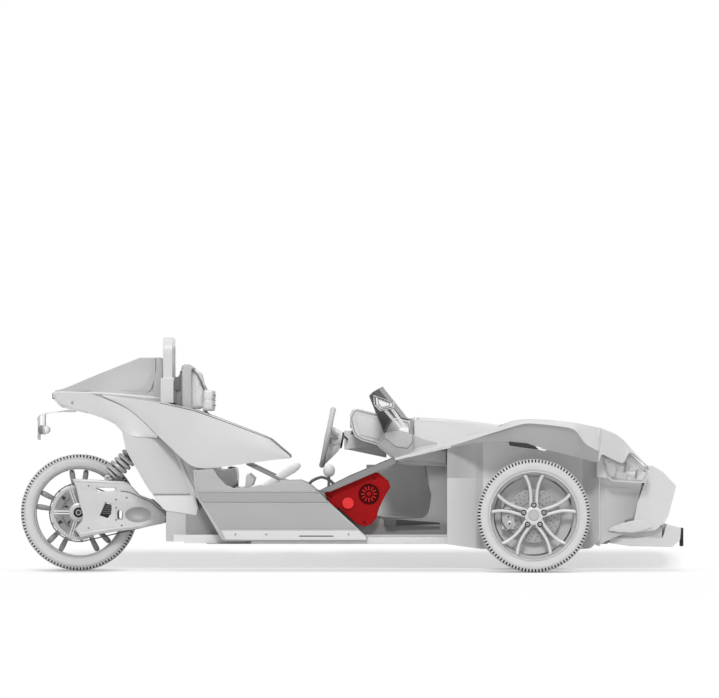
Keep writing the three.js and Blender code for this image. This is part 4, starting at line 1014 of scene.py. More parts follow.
# Body shells: rows of points across the panel, smoothed except along kept creases
def shell(name, rows, creases, thickness=4, facing=(0, 0, 1), rowCreases=None, levels=2, second=None,
        lining=0, paintNames=()):
    wide = len(rows[0])
    points = [at(*point) for row in rows for point in row]
    faces = [
        (r * wide + i, r * wide + i + 1, (r + 1) * wide + i + 1, (r + 1) * wide + i)
        for r in range(len(rows) - 1) for i in range(wide - 1)
    ]
    obj = meshOf(name, points, faces, closed=False)
    for paintName in paintNames:
        obj.data.materials.append(paints[paintName])
    bm = bmesh.new()
    bm.from_mesh(obj.data)
    crease = bm.edges.layers.float.new("crease_edge")
    for edge in bm.edges:
        start, end = sorted(vertex.index for vertex in edge.verts)
        if start % wide == end % wide:
            edge[crease] = creases.get(start % wide, 0)
        elif rowCreases:
            edge[crease] = rowCreases.get(start // wide, 0)
    if second:  # faces that take the second paint
        for index, face in enumerate(bm.faces):
            face.material_index = 1 if second(index // (wide - 1), index % (wide - 1)) else 0
    total = sum((face.normal * face.calc_area() for face in bm.faces), Vector())
    if total.dot(Vector(facing)) < 0:
        bmesh.ops.reverse_faces(bm, faces=bm.faces)
    bm.to_mesh(obj.data)
    bm.free()
    smooth = obj.modifiers.new("smooth", "SUBSURF")
    smooth.levels = smooth.render_levels = levels
    smooth.boundary_smooth = "PRESERVE_CORNERS"
    wall = obj.modifiers.new("wall", "SOLIDIFY")
    wall.thickness, wall.offset, wall.use_even_offset = thickness / 1000, -1, True
    wall.material_offset = lining  # which paint the inner face takes, counted from the outer one
    settled(obj)
    if "crease_edge" in obj.data.attributes:
        obj.data.attributes.remove(obj.data.attributes["crease_edge"])
    return smoothBy(obj, 32)


def both(make):  # one piece a side; the right one is the mirror image
    left = make("left")
    right = mirrored(left, left.name.removesuffix("left") + "right")
    return {"left": left, "right": right}


def fitBoth(pair, slotName, node=None, bodyName="chassis"):
    for side, piece in pair.items():
        nodes = [f"{node}_{side}"] if node else []
        fit(piece, bodyName, slotName, *nodes)


def pairedPlate(name, outline, y0, y1, edge, paint, slotName, steps=2):
    fitBoth(both(lambda side: painted(plate(f"{name}_{side}", outline, y0, y1, edge=edge, steps=steps),
        paint)), slotName)


def mixed(values, where):  # straight line through (x, value, ...) rows
    rows = sorted(values)
    if where <= rows[0][0]:
        return rows[0][1:]
    for low, high in zip(rows, rows[1:]):
        if where <= high[0]:
            share = (where - low[0]) / (high[0] - low[0])
            return tuple(a + share * (b - a) for a, b in zip(low[1:], high[1:]))
    return rows[-1][1:]


hoodShape = {
    "half": 551.5, "shoulder": 300, "spine": 95, "valley": 165,
    "rows": [  # from the front axle: height at the middle, at the shoulder, at the side
        (-692, 905, 890, 762), (-547, 896, 884, 754), (-363, 882, 872, 803), (-216, 862, 858, 833),
        (83, 820, 826, 842), (323, 742, 752, 800), (545, 650, 660, 700),
    ],
    "louvres": 7, "louvreFrom": -200, "louvreStep": 46,
}


def hoodPiece():
    shape = hoodShape
    rows = []
    for x in (-692, -620, -547, -455, -363, -290, -216, -70, 83, 200, 323, 430, 500, 545):
        middle, shoulder, side = mixed(shape["rows"], x)
        fade = 1 if x < 200 else max(0.2, 1 - (x - 200) / 400)
        section = [
            (shape["half"], side), (470, side + (shoulder - side) * 0.42 + 4),
            (shape["shoulder"] + 30, shoulder - 3),
            (shape["shoulder"], shoulder), (shape["valley"] + 40, middle - 13 * fade),
            (shape["valley"], middle - 12 * fade),
            (shape["spine"], middle - 1), (0, middle + 2),
        ]
        mirroredPart = [(-y, z) for y, z in section[-2::-1]]
        rows.append([(wheelbase + x, -y, z) for y, z in section + mirroredPart])
    creases = {3: 0.5, 11: 0.5, 6: 0.7, 8: 0.7, 5: 0.4, 9: 0.4}
    return painted(shell("hoodShell", rows, creases, 4), "hood")


def hoodLouvres():
    shape = hoodShape
    parts = []
    for side in (-1, 1):
        outline = [(0, -1), (34, 4.5), (36, 7), (30, 7.5), (4, 2), (0, 1)]
        x0 = shape["louvreFrom"]
        _, shoulder, edge = mixed(shape["rows"], x0)
        slope = (mixed(shape["rows"], 83)[1] - shoulder) / (83 - x0)
        slat = plate("slat", [(wheelbase + x0 + x, shoulder + 1 + z) for x, z in outline], side * 375 - 52,
            side * 375 + 52, edge=1)
        for vertex in slat.data.vertices:  # the slats lie on the falling side of the hood
            vertex.co.z += (abs(vertex.co.y) * 1000 - 300) / 1000 * (edge - shoulder) / (551 - 300)
        parts.append(inRow(slat, shape["louvres"], (shape["louvreStep"], 0, shape["louvreStep"] * slope),
            "trim"))
    return merged("hoodLouvres", parts)


fit(hoodPiece(), "hood_lid", "body")
fit(hoodLouvres(), "hood_lid", "plastic")
catchSpots = [(front(-670, y, mixed([(0, 897), (300, 887)], abs(y))[0] + 4), (0, 0, 1))
    for y in (-240, -80, 80, 240)]
fit(screws("hoodScrews", catchSpots, 7, 4), "hood_lid", "steel")

fenderShape = {
    "inner": 557.5, "thick": 4,
    "rows": [  # x from the front axle, then half width and height: inner edge, crest, lower side edge
        (-806, 690, 662, 745, 668, 748, 653), (-689, 655, 704, 750, 694, 754, 678),
        (-683, 557.5, 758, 750, 696, 754, 680), (-565, 557.5, 758, 760, 726, 766, 708),
        (-400, 557.5, 792, 790, 765, 800, 743), (-255, 557.5, 826, 830, 824, 885, 762),
        (-127, 557.5, 836, 850, 878, 925, 757), (-51, 557.5, 840, 855, 896, 935, 742),
        (82, 557.5, 842, 855, 889, 940, 713), (239, 557.5, 820, 845, 874, 935, 672),
        (378, 557.5, 785, 810, 847, 905, 637), (395, 557.5, 780, 800, 842, 890, 690),
        (489, 557.5, 742, 765, 805, 835, 645), (525, 557.5, 725, 750, 775, 814, 629),
        (549, 557.5, 712, 742, 748, 803, 683), (564, 557.5, 704, 735, 728, 795, 707),
        (663, 577.5, 622, 690, 626, 700, 616),
    ],
}

# Edge of the light strip along the crest: x from the front axle, height
stripEdge = [(-565, 708), (-400, 759), (-255, 805), (-127, 845), (-51, 869), (82, 858), (239, 837),
    (297, 747), (384, 701)]


def fenderPiece(side):
    rows = []
    places = (-806, -689, -683, -565, -480, -400, -330, -255, -190, -127, -51, 16, 82, 160, 239, 268, 297,
        340, 378, 395, 440, 489, 525, 540, 549, 564, 610, 663)
    for x in places:
        inY, inZ, crestY, crestZ, lowY, lowZ = mixed(fenderShape["rows"], x)
        strip = min(mixed(stripEdge, x)[0], crestZ - 6) if -500 < x < 385 else crestZ - 8
        stripY = crestY + (lowY - crestY) * 0.55 + (10 if -300 < x < 380 else 0)
        deep = 12 if -300 < x < 250 else 2
        rows.append([
            (wheelbase + x, inY, inZ), (wheelbase + x, inY + (crestY - inY) * 0.55,
            inZ + (crestZ - inZ) * 0.52 - 3),
            (wheelbase + x, crestY, crestZ), (wheelbase + x, stripY, strip + 1),
            (wheelbase + x, stripY + (lowY - stripY) * 0.2 - deep, strip + (lowZ - strip) * 0.12),
            (wheelbase + x, lowY - deep, lowZ + (strip - lowZ) * 0.4), (wheelbase + x, lowY, lowZ),
        ])
    creases = {2: 0.8, 3: 1, 4: 0.5}
    rowCreases = {places.index(x): value for x, value in ((-127, 0.6), (82, 0.6), (378, 0.9), (395, 0.9))}
    # the flank below the light strip takes the darker second paint, painted shade on the flank that faces
    # down
    return shell(f"fender_{side}", rows, creases, fenderShape["thick"], rowCreases=rowCreases,
        second=lambda row, column: column >= 3 and -480 <= places[row] < 378, lining=2,
        paintNames=("panel", "flank", "pale"))


fitBoth(both(fenderPiece), "body", "front_fender")

# Black wedge behind the fender's lower edge, standing in for the shadow under the fender
shadowWedgeOutline = [(-147, 762), (-40, 752), (10, 734), (28, 716), (-30, 722), (-140, 738)]
sliverOutline = [(8, 735), (84, 718), (60, 706), (28, 714)]
pairedPlate("fenderWedge", fromFront(shadowWedgeOutline), 918, 939, 2, "black", "dark")
pairedPlate("fenderSliver", fromFront(sliverOutline), 910, 938, 2, "pale", "body")


def scuttle():  # closes the body between the wind deflector and the hood
    rows = []
    for x, lower in ((-748, 4), (-722, 3), (-697, 3)):
        middle, side = mixed(hoodShape["rows"], x)[0], 800
        rows.append([(wheelbase + x, y, z - lower) for y, z in (
            (-545, side + 8), (-470, 846), (-330, 884), (-300, 889), (-165, 892), (0, middle), (165, 892),
            (300, 889), (330, 884),
            (470, 846), (545, side + 8),
        )])
    return painted(shell("scuttle", rows, {3: 0.4, 7: 0.4}, 4), "rail")


fit(scuttle(), "chassis", "body")

# Cheek of the cowl running out over the fender
taperOutline = [(-694, 799), (-640, 776), (-560, 754), (-560, 735), (-694, 692)]
pairedPlate("cowlTaper", fromFront(taperOutline), 558, 640, 5, "trim", "body", 3)

# Liner between the wheel and the nose, with a stiffening step
linerOutline = [(372, 150), (385, 545), (432, 552), (638, 524), (616, 420), (596, 312), (575, 240),
    (455, 190)]


def linerPiece(side):
    skin = plate("linerSkin", fromFront(linerOutline), 630, 640, edge=3)
    wall = plate("linerWall", fromFront(((364, 160), (364, 690), (392, 676), (392, 150))), 560, 641, edge=3)
    step = plate("linerStep", fromFront(((420, 215), (420, 500), (560, 492), (536, 290))), 637, 642, edge=3)
    rim = plate("lampRim", fromFront(((370, 552), (370, 706), (396, 702), (428, 572), (462, 540),
        (436, 546))), 600, 742, edge=4)
    return painted(merged(f"noseLiner_{side}", [skin, wall, step, rim]), "liner")


fitBoth(both(linerPiece), "body")

# Dark guard on the splitter's tip
fit(painted(box("splitterFin", (wheelbase + 877, -47, 143), (wheelbase + 898, 47, 252), 3), "black"),
    "chassis", "dark")
fit(painted(box("splitterFlag", (wheelbase + 866, -30, 196), (wheelbase + 880, 30, 206), 2), "black"),
    "chassis", "dark")

bladeRows = [  # x, then y and z of the deck edge, the shoulder and the lower edge
    (150, 398.4, 1030, 430, 1034, 440, 1024), (225, 398.4, 1025, 470, 1026, 485, 993),
    (303, 398.4, 1018, 510, 1016, 530, 957), (390, 398.4, 1008, 552, 1001, 582, 882),
    (470, 398.4, 1000, 592, 988, 630, 800), (486, 508, 996, 600, 985, 640, 786),
    (590, 515, 974, 640, 962, 673, 690), (683, 520, 955, 675, 942, 705, 598),
    (799, 540, 912, 690, 902, 715, 606), (965, 590, 848, 698, 840, 718, 628),
    (1132, 640, 782, 705, 776, 720, 652), (1249, 690, 680, 708, 677, 715, 664),
]


def bladePiece(side):
    rows = []
    for x, deckY, deckZ, topY, topZ, lowY, lowZ in bladeRows:
        midY, midZ = (topY + lowY) / 2, (topZ + lowZ) / 2
        rows.append([
            (x, deckY, deckZ), (x, topY - 10, topZ + 1), (x, topY, topZ - 1),
            (x, topY + (midY - topY) * 0.5 + 5, (topZ + midZ) / 2),
            (x, midY + 8, midZ), (x, lowY - (lowY - midY) * 0.45 + 5, (midZ + lowZ) / 2), (x, lowY, lowZ),
        ])
    return painted(shell(f"blade_{side}", rows, {1: 0.8, 2: 0.8}, 4, facing=(0, 1, 1), rowCreases={10: 0.7}),
        "panel")


def bladeSeal(side):  # dark seal along the blade's upper edge
    path = [at(x, topY - 4, topZ + 1.5) for x, _, _, topY, topZ, _, _ in bladeRows[5:]]
    return painted(rod(f"bladeSeal_{side}", path, 2.2, 8), "dark")


fitBoth(both(bladePiece), "body", "quarter_blade")
fitBoth(both(bladeSeal), "dark")
print("body shells made")

# Tail: deck, a sail behind each hoop, and the pillar between sail and hoop
tailTop = [(-150, 1056), (-82, 1075), (118, 1158), (364, 1255), (482, 1255), (494, 1252)]
deckRows = [  # x, half width, top, bottom
    (-153, 118, 1052, 1014), (-125, 160, 1056, 984), (-100, 190, 1058, 962), (-35, 262, 1056, 946),
    (71, 330, 1054, 923), (150, 398, 1050, 898), (217, 398, 1046, 866), (265, 398, 1043, 814),
    (380, 398, 1032, 802), (488.5, 398, 1022, 791),
]


def tailDeck():
    rings = []
    for x, half, top, bottom in deckRows:
        section = [
            (-half + 46, bottom), (-half + 6, bottom + 12), (-half, bottom + 24), (-half + 6, top - 24),
            (-half, top - 10),
            (-half + 10, top), (-half + 60, top), (0, top + 1), (half - 60, top), (half - 10, top),
            (half, top - 10),
            (half - 6, top - 24), (half, bottom + 24), (half - 6, bottom + 12), (half - 46, bottom),
            (0, bottom - 1),
        ]
        rings.append([at(x, y, z) for y, z in section])
    deck = loft("tailDeck", rings)
    return painted(smoothBy(deck, 30), "deck")


def sailPiece(side):
    rings = []
    for x in (-140, -100, -40, 40, 118, 200, 280, 364, 420, 455):
        top = mixed(tailTop, x)[0] - 1
        inner, outer = mixed([(-140, 50, 122), (-100, 60, 168), (40, 84, 268), (118, 100, 330),
            (364, 120, 380), (482, 120, 386)], x)
        high = top - 1050
        rings.append([at(x, y, z) for y, z in (
            (outer + 4, 1018), (outer + 4, 1046), (outer - 4, 1056),
            (outer - 12 - high * 0.12, 1056 + high * 0.3),
            (outer - 16 - high * 0.2, 1056 + high * 0.7), (outer - 18 - high * 0.22, top - 7),
            (outer - 26 - high * 0.22, top),
            (inner + 30, top), (inner + 12, top - 8), (inner, 1018),
        )])
    sail = loft(f"tailSail_{side}", rings)
    return painted(smoothBy(sail, 28), "tail")


def sailRib(side):  # raised rib that ends the sail's hollow
    outline = [(-130, 1052), (-120, 1058), (60, 1062), (330, 1064), (400, 1090), (440, 1160), (452, 1230),
        (458, 1230), (456, 1140), (430, 1062), (400, 1040), (330, 1034), (40, 1036)]
    piece = plate(f"sailRib_{side}", outline, 0, 9, edge=3)
    for vertex in piece.data.vertices:
        x = (vertex.co.x - rearAxle.x) * 1000
        outer = mixed([(-140, 128), (-100, 172), (40, 272), (118, 332), (364, 382), (482, 388)], x)[0]
        vertex.co.y += (outer - 6 - 0.22 * max(0, vertex.co.z * 1000 - 1050) * (1
            if x < 400 else max(0, 1 - (x - 400) / 50))) / 1000
    return painted(piece, "tail")


def tailFlank(side):  # carries the deck's side out to the blade's rear edge
    lower = [(40, 930), (71, 924), (150, 900), (217, 868), (265, 822), (303, 796), (380, 788), (474, 782)]
    upper = [(150, 1018, 436), (225, 988, 478), (303, 952, 522), (390, 878, 574), (455, 812, 610),
        (474, 796, 622)]
    rows = []
    for x in (60, 105, 150, 190, 225, 265, 303, 345, 390, 430, 455, 472):
        low, inside = mixed(lower, x)[0], mixed([(60, 318), (150, 396), (225, 440), (303, 566), (474, 568)],
            x)[0]
        high, out = mixed([(60, 1046, 326)] + upper, x)
        rows.append([(x, inside + (out - inside) * share, low + (high - low) * rise - bow)
            for share, rise, bow in (
            (0, 0, 0), (0.5, 0.18, 6), (0.86, 0.55, 4), (0.99, 1, 0))])
    return painted(shell(f"tailFlank_{side}", rows, {}, 3, facing=(0, 1, 0)), "deck")


fitBoth(both(tailFlank), "body")

# Dark strip that closes the sill under the fender's tail
stripOutline = [(-800, 630), (-752, 664), (-690, 684), (-503, 730), (-503, 615)]
pairedPlate("sillStrip", fromFront(stripOutline), 572, 580, 2, "shade", "plastic")
fit(tailDeck(), "chassis", "shade", "tail_cowl")
fitBoth(both(sailPiece), "shade")
pillarOutline = [
    (455, 1012), (440, 1070), (452, 1140), (462, 1200), (458, 1255), (486, 1255), (496, 1236), (500, 1180),
    (500, 1012),
]
pairedPlate("sailPillar", pillarOutline, 150, 392, 8, "tail", "shade", 3)
fitBoth(both(sailRib), "shade")
seamSpots = [(at(x, side * (half + 0.5), (top + bottom) / 2 - 12), (0, side, 0))
    for side in (-1, 1) for x, half, top, bottom in deckRows[3:9:2]]
fit(screws("tailScrews", seamSpots, 7, 3), "chassis", "steel")

# Rear body: side skins stand on the moulded core, parted by a dark seam
rearSkins = {
    "upper": [(279, 808), (428, 789), (487, 787), (566, 706), (622, 562), (668, 458), (452, 458), (418, 498),
    (337, 640), (296, 712)],
    "infill": [(480, 800), (600, 800), (692, 690), (712, 580), (716, 424), (668, 440), (622, 562),
    (566, 706)],
    "lower": [(451, 443), (680, 443), (708, 372), (700, 330), (640, 340), (520, 357), (510, 366)],
}


def rearSkin(side):
    parts = [
        plate("skinUpper", rearSkins["upper"], 556, 561, edge=2),
        plate("skinLower", rearSkins["lower"], 556, 562, edge=2),
        plate("infill", rearSkins["infill"], 555.5, 560, edge=2),
    ]
    parts.append(plate("flange", [(524, 177), (640, 177), (640, 372), (524, 372)], 548, 555, edge=2))
    for part, paintName in zip(parts, ("panel", "tube", "panel", "hood")):
        painted(part, paintName)
    return merged(f"rearSkin_{side}", parts)


fitBoth(both(rearSkin), "body")
seamBox = both(lambda side: painted(box(f"rearSeam_{side}", (448, 540, 448.5), (688, 557.5, 452.5)), "dark"))
fitBoth(seamBox, "dark")
print("tail made")

# Rocker: three bands over one core, with a drain slot
rockerOutlines = {
    "top": [(700, 520), (724, 430), (738, 408), (1480, 408), (1402, 462), (1357, 507), (1307, 526),
    (1208, 523), (1115, 500),
        (1015, 485), (922, 482), (868, 502), (822, 550), (796, 592), (694, 588), (708, 520)],
    "middle": [(742, 398), (838, 252), (1636, 252), (1560, 316), (1488, 398)],
    "bottom": [(846, 242), (872, 190), (1000, 187), (1700, 187), (1690, 206), (1648, 242)],
}


def rockerPiece(side):
    outline = [
        (683, 595), (800, 601), (829, 555), (875, 508), (922, 490), (1015, 493), (1115, 508), (1208, 531),
        (1307, 534), (1359, 514), (1412, 467), (1698, 205), (1690, 181), (887, 181), (852, 187), (712, 426),
        (695, 479),
    ]
    core = painted(plate("rockerCore", outline, 655.5, 731, edge=4), "trim")
    parts = Parts([core])
    for band, paintName, out in (("top", "rockerTop", 740), ("middle", "rockerMiddle", 734),
            ("bottom", "rockerBottom", 741)):
        parts.add(paintName, plate("band", rockerOutlines[band], 722, out, edge=4, steps=3))
    lip = plate("lip", [(708, 466), (1416, 466), (1405, 475), (705, 475)], 735, 744, edge=2)
    parts.add("rockerTop", lip)
    # the drain slot is a black sheet on the band, painted shade of the opening
    slot = plate("slot", [(1300, 207), (1500, 207), (1504, 210), (1496, 213), (1304, 213)], 736, 741.8,
        edge=0.5)
    parts.add("black", slot)
    return merged(f"rocker_{side}", parts)


fitBoth(both(rockerPiece), "shade", "rocker_panel")

# Pale edge of the floor pan
flangeOutline = [(1021, 163), (wheelbase - 502, 163), (wheelbase - 502, 204), (1702, 204), (1692, 180),
    (1021, 180)]
pairedPlate("sillFlange", flangeOutline, 655.4, 661, 1.5, "rockerBottom", "body")
rockerSpots = [(at(x, side * 741, 220), (0, side, 0)) for side in (-1, 1) for x in (930, 1110, 1590)]
fit(screws("rockerScrews", rockerSpots, 6, 2.5), "chassis", "steel")
print("sides made")


# Strip and screws over the joint of the front side panel
def sideJoint(side):
    path = [(-502, 719.5), (-337, 615), (-292, 575), (-230, 574)]
    after = [(226, 574), (292, 575), (337, 615), (386, 673)]
    parts = []
    for points in (path, after):
        out = [front(x, y + 1.5, 549) for x, y in points]
        parts.append(rod("joint", out, 3.2, 8))
    return painted(merged(f"sideJoint_{side}", parts), "dark")


fitBoth(both(sideJoint), "dark")
sideSpots = [(front(x, side * y, z), (0.5, side * 0.85, 0)) for side in (-1, 1)
    for x, y, z in ((-470, 701, 230), (-470, 701, 500), (-370, 638, 230), (-370, 638, 500),
    (-470, 701, 600))]
fit(screws("sideScrews", sideSpots, 7, 4), "chassis", "steel")


# Coil of a spring between two points, and its damper
def coil(name, low, high, radius, wire, turns, steps=20):
    axis = high - low
    frameTurn = axis.to_track_quat("Z", "Y")
    points = []
    for i in range(int(turns * steps) + 1):
        angle, share = 2 * math.pi * i / steps, i / (turns * steps)
        points.append(low + axis * share + frameTurn @ Vector((radius * math.cos(angle),
            radius * math.sin(angle), 0)) / 1000)
    return rod(name, points, wire, 10)


# Turned about any axis: profile holds share along it and radius
def disk(name, start, end, profile, sides=32):
    axis = end - start
    turn = axis.to_track_quat("Z", "Y")
    rings = []
    for share, radius in profile:
        rings.append([
            start + axis * share + turn @ Vector((radius * math.cos(a), radius * math.sin(a), 0)) / 1000
            for a in angles(sides)
        ])
    return smoothBy(loft(name, rings), 34)


rearShockShape = {"y": -202, "foot": (170, 547), "head": (322, 692), "coil": 46, "wire": 11.5, "turns": 4.4}


def rearShock():
    shape = rearShockShape
    foot, head = [at(x, shape["y"], z) for x, z in (shape["foot"], shape["head"])]
    along = head - foot
    parts = Parts([
        painted(disk("damper", foot, head, [(0, 10), (0.02, 15), (0.5, 15), (0.52, 9), (0.97, 9), (1, 7)]),
        "bolt"),
        painted(disk("collarLow", foot, head, [(0.14, 20), (0.15, 46), (0.19, 46), (0.21, 30), (0.3, 21)]),
        "forged"),
        painted(disk("collarHigh", foot, head, [(0.82, 20), (0.88, 34), (0.9, 47), (0.94, 47), (0.95, 20)]),
        "forged"),
        painted(coil("coil", foot + along * 0.22, foot + along * 0.87, shape["coil"], shape["wire"],
        shape["turns"]), "spring"),
    ])
    for middle in (foot, head):
        side = Vector((0, 0.017, 0))
        parts.add("forged", disk("eye", middle - side, middle + side,
            [(0, 12), (0.04, 17), (0.96, 17), (1, 12)]))
        parts.add("bolt", disk("bolt", middle - side * 1.25, middle + side * 1.2,
            [(0, 7), (0.06, 9), (0.9, 9), (1, 7)], 6))
    parts.add("forged", box("pad", (152, -219, 536), (198, -185, 548), 3))
    return merged("rearShock", parts)


fit(rearShock(), "chassis", "metal", "rear_shock")

# Front coils round the dampers of the lower arms
for side, sign in bothSides:
    foot, head = at(wheelbase, sign * 650, 184), at(wheelbase, sign * 440, 560)
    along = head - foot
    turnsPiece = painted(coil(f"frontCoil_{side}", foot + along * 0.3, foot + along * 0.88, 39, 6.5, 7),
        "spring")
    fit(turnsPiece, "chassis", "metal")

# Right-hand swingarm cheek: a pressed skin over the plate, with its openings and hollow
cheekShape = {
    "outline": [
        (-38, 543), (-15, 499), (3, 413), (27, 330), (23, 298), (-20, 245), (13, 196), (77, 209), (217, 231),
        (332, 244), (508, 281), (513, 345), (434, 420), (364, 446), (300, 512), (274, 526), (109, 536),
    ],
    "holes": [
        [(128, 326), (160, 400), (195, 394), (196, 332), (172, 310)],
        [(110, 468), (106, 478), (110, 489), (215, 489), (221, 479), (215, 469)],
        [(234, 303), (231, 318), (231, 340), (234, 355), (257, 355), (260, 340), (260, 318), (257, 303)],
    ],
}

ovalSteps = 28


def oval(centre, reach, steps=ovalSteps):
    return [(centre[0] + reach[0] * math.cos(a), centre[1] + reach[1] * math.sin(a)) for a in angles(steps)]


def swingarmPiece():
    shape = cheekShape
    dishCentre, dishReach = (352, 330), (74, 44)
    holes = shape["holes"] + [oval(dishCentre, dishReach)]
    cheek = plate("cheek", shape["outline"], -228, -190, holes, edge=7, steps=3)
    left = plate("cheekLeft", [point for point in shape["outline"] if point[1] < 440], 186, 219,
        shape["holes"][::2], edge=7, steps=3)
    points, faces, dishRings = [], [], 7
    for ring in range(1, dishRings + 1):
        share = ring / dishRings
        points += [at(x, -226 + 24 * (1 - share ** 2), z) for x, z in oval(
            (dishCentre[0] - 12 * (1 - share), dishCentre[1]),
            (dishReach[0] * share + 1, dishReach[1] * share + 1))]
    points.append(at(dishCentre[0] - 12, -202, dishCentre[1]))
    for start in range(0, (dishRings - 1) * ovalSteps, ovalSteps):
        for i in range(ovalSteps):
            after = (i + 1) % ovalSteps
            faces.append((start + i, start + after, start + ovalSteps + after, start + ovalSteps + i))
    faces += [(len(points) - 1, (i + 1) % ovalSteps, i) for i in range(ovalSteps)]
    dish = meshOf("dish", points, faces, closed=False)
    wall = dish.modifiers.new("wall", "SOLIDIFY")
    wall.thickness, wall.offset = 0.002, 0
    settled(dish)
    smoothBy(tidied(dish), 40)
    # the dish takes the darker hollow paint, painted shade
    parts = Parts([painted(cheek, "cast"), painted(left, "cast"), painted(dish, "hollow")])
    parts.add("dark", rod("fold", [at(x, -228.5, z)
        for x, z in ((250, 470), (300, 463), (364, 433), (430, 404), (508, 340))], 2.8, 8))
    for name, outline in (
            ("upperRib", [(-28, 536), (109, 529), (272, 519), (290, 510), (262, 512), (109, 519),
            (-22, 524)]),
            ("lowerRib", [(-10, 250), (18, 207), (76, 219), (215, 241), (330, 254), (496, 290), (330, 268),
            (212, 256), (76, 234), (24, 224)]),
            ("noseRib", [(420, 300), (500, 300), (505, 335), (430, 392), (418, 380), (470, 330)]),
    ):
        parts.add("cast", plate(name, outline, -232, -226, edge=2))
    for start, end, radius, paintName in (
            ((495, -219, 314), (495, 219, 314), 19, "forged"),
            ((412, -188, 314), (412, -136, 314), 44, "forged"),
            ((0, -176, 343), (0, 232, 343), 20, "bolt"), ((0, 186, 343), (0, 236, 343), 30, "forged"),
            ((495, -236, 314), (495, -219, 314), 21, "forged"),
    ):
        parts.add(paintName, disk("pin", at(*start), at(*end),
            [(0, radius - 2), (0.02, radius), (0.98, radius), (1, radius - 2)]))
    cross = plate("cross", [(366, 288), (424, 282), (432, 300), (428, 342), (366, 342)], -192, 190, edge=7)
    parts.add("cast", cross)
    foot = plate("foot", [(26, 290), (96, 290), (96, 400), (40, 400)], -222, -188, edge=5)
    parts.add("cast", foot)
    parts.add("cast", box("footLeft", (-32, 187, 286), (70, 217, 400), 8))
    parts.add("trim", plate("calliper", [(150, 292), (172, 300), (175, 343), (172, 386), (150, 394),
        (126, 380), (150, 343), (126, 306)],
        71, 109, edge=5))
    parts.add("cast", box("bracket", (118, 106, 318), (164, 192, 368), 6))
    for i in range(5):
        parts.add("dark", box("slat", (138 + 5 * i, -214, 336 + 11 * i), (194, -206, 342 + 11 * i), 1.5))
    # black backing behind the slats, painted shade inside the opening
    parts.add("black", plate("backing", [(132, 328), (161, 396), (193, 391), (193, 334), (172, 314)], -206,
        -203, edge=1))
    return merged("swingarmArm", parts)


fit(swingarmPiece(), "chassis", "metal", "swingarm")
cheekSpots = [(at(x, -229, z), (0, -1, 0)) for x, z in ((60, 500), (60, 252), (255, 268), (285, 430),
    (222, 300), (222, 420), (222, 372))]
fit(screws("cheekScrews", cheekSpots, 5, 4, "dark"), "chassis", "steel")


# Sprocket cover turning with the rear wheel: windows, twin ribs and lobes round its edge; the windows are a
# dark ring and black sheets, painted shade of the openings
def sprocketFace():
    ring = [(162, -166), (162, -170), (152, -172), (140, -170), (138, -166)]
    parts = Parts([painted(turnedShape("ring", ring, origin, 80), "forged")])
    inner = [(56, -166), (56, -174), (48, -177), (30, -177), (28, -166)]
    parts.add("forged", turnedShape("inner", inner, origin, 48))
    parts.add("rail", turnedShape("dark", [(139, -165.4), (139, -166.4), (55, -166.4), (55, -165.4)], origin,
        60))
    for shift, width in ((-7, 4.5), (7, 4.5)):
        rings = []
        for radius in (50, 95, 143):
            rings.append([Vector((shift + across, -166 - rise, radius)) / 1000
                for across, rise in ((-width, 0), (-width, 5), (-width * 0.4, 7), (width * 0.4, 7),
                (width, 5), (width, 0))])
        parts.append(aroundAxle(smoothBy(loft("rib", rings), 40), 5, 54, origin, "cast"))
    web = [Vector((x, y, z)) / 1000 for x, z in ((-26, 118), (26, 118), (34, 142), (-34, 142))
        for y in (-166, -171)]
    webRings = [[web[i] for i in (0, 2, 4, 6)], [web[i] for i in (1, 3, 5, 7)]]
    parts.append(aroundAxle(loft("web", webRings), 5, 54, origin, "flank"))
    arc = []
    for angle in (-22, -11, 0, 11, 22):
        a = math.radians(angle)
        arc.append([Vector((r * math.sin(a), -166 - d, r * math.cos(a))) / 1000
            for r, d in ((92, 0), (92, 4), (97, 5), (102, 4), (102, 0))])
    parts.append(aroundAxle(smoothBy(loft("arc", arc), 30), 5, 18, origin, "dark"))
    gap = [[Vector((w, -166.5 - d, r)) / 1000 for w, r in ((5, 108), (30, 112), (24, 134), (10, 132))]
        for d in (0, 1)]
    parts.append(aroundAxle(loft("gap", gap), 5, 18, origin, "black"))
    gap = [[Vector((w, -166.5 - d, r)) / 1000 for w, r in ((-6, 66), (-16, 70), (-26, 88), (-8, 86))]
        for d in (0, 1)]
    parts.append(aroundAxle(loft("gap", gap), 5, 18, origin, "black"))
    lobe = [[Vector((w, -150 - d, r)) / 1000 for w, r in ((-9, 160), (-6, 176), (6, 176), (9, 160))]
        for d in (0, 10)]
    parts.append(aroundAxle(loft("lobe", lobe), 15, 6, origin, "forged"))
    # the bore is a black disc, painted shade of the hole
    parts.add("black", turnedShape("bore", [(0.01, -178), (10, -178), (10, -170), (0.01, -170)], origin, 24))
    face = merged("sprocketFace", parts)
    face.data.transform(Matrix.Translation(rearAxle))
    return face


fit(sprocketFace(), "rear_wheel", "steel")
toothRings = [[Vector((w, -165 + d, r)) / 1000 for w, r in ((-2.2, 160), (-1.2, 167.5), (1.2, 167.5),
    (2.2, 160))] for d in (0, 30)]
fit(aroundAxle(loft("sprocketTeeth", toothRings), 78, 0, rearAxle, "forged"), "rear_wheel", "steel")


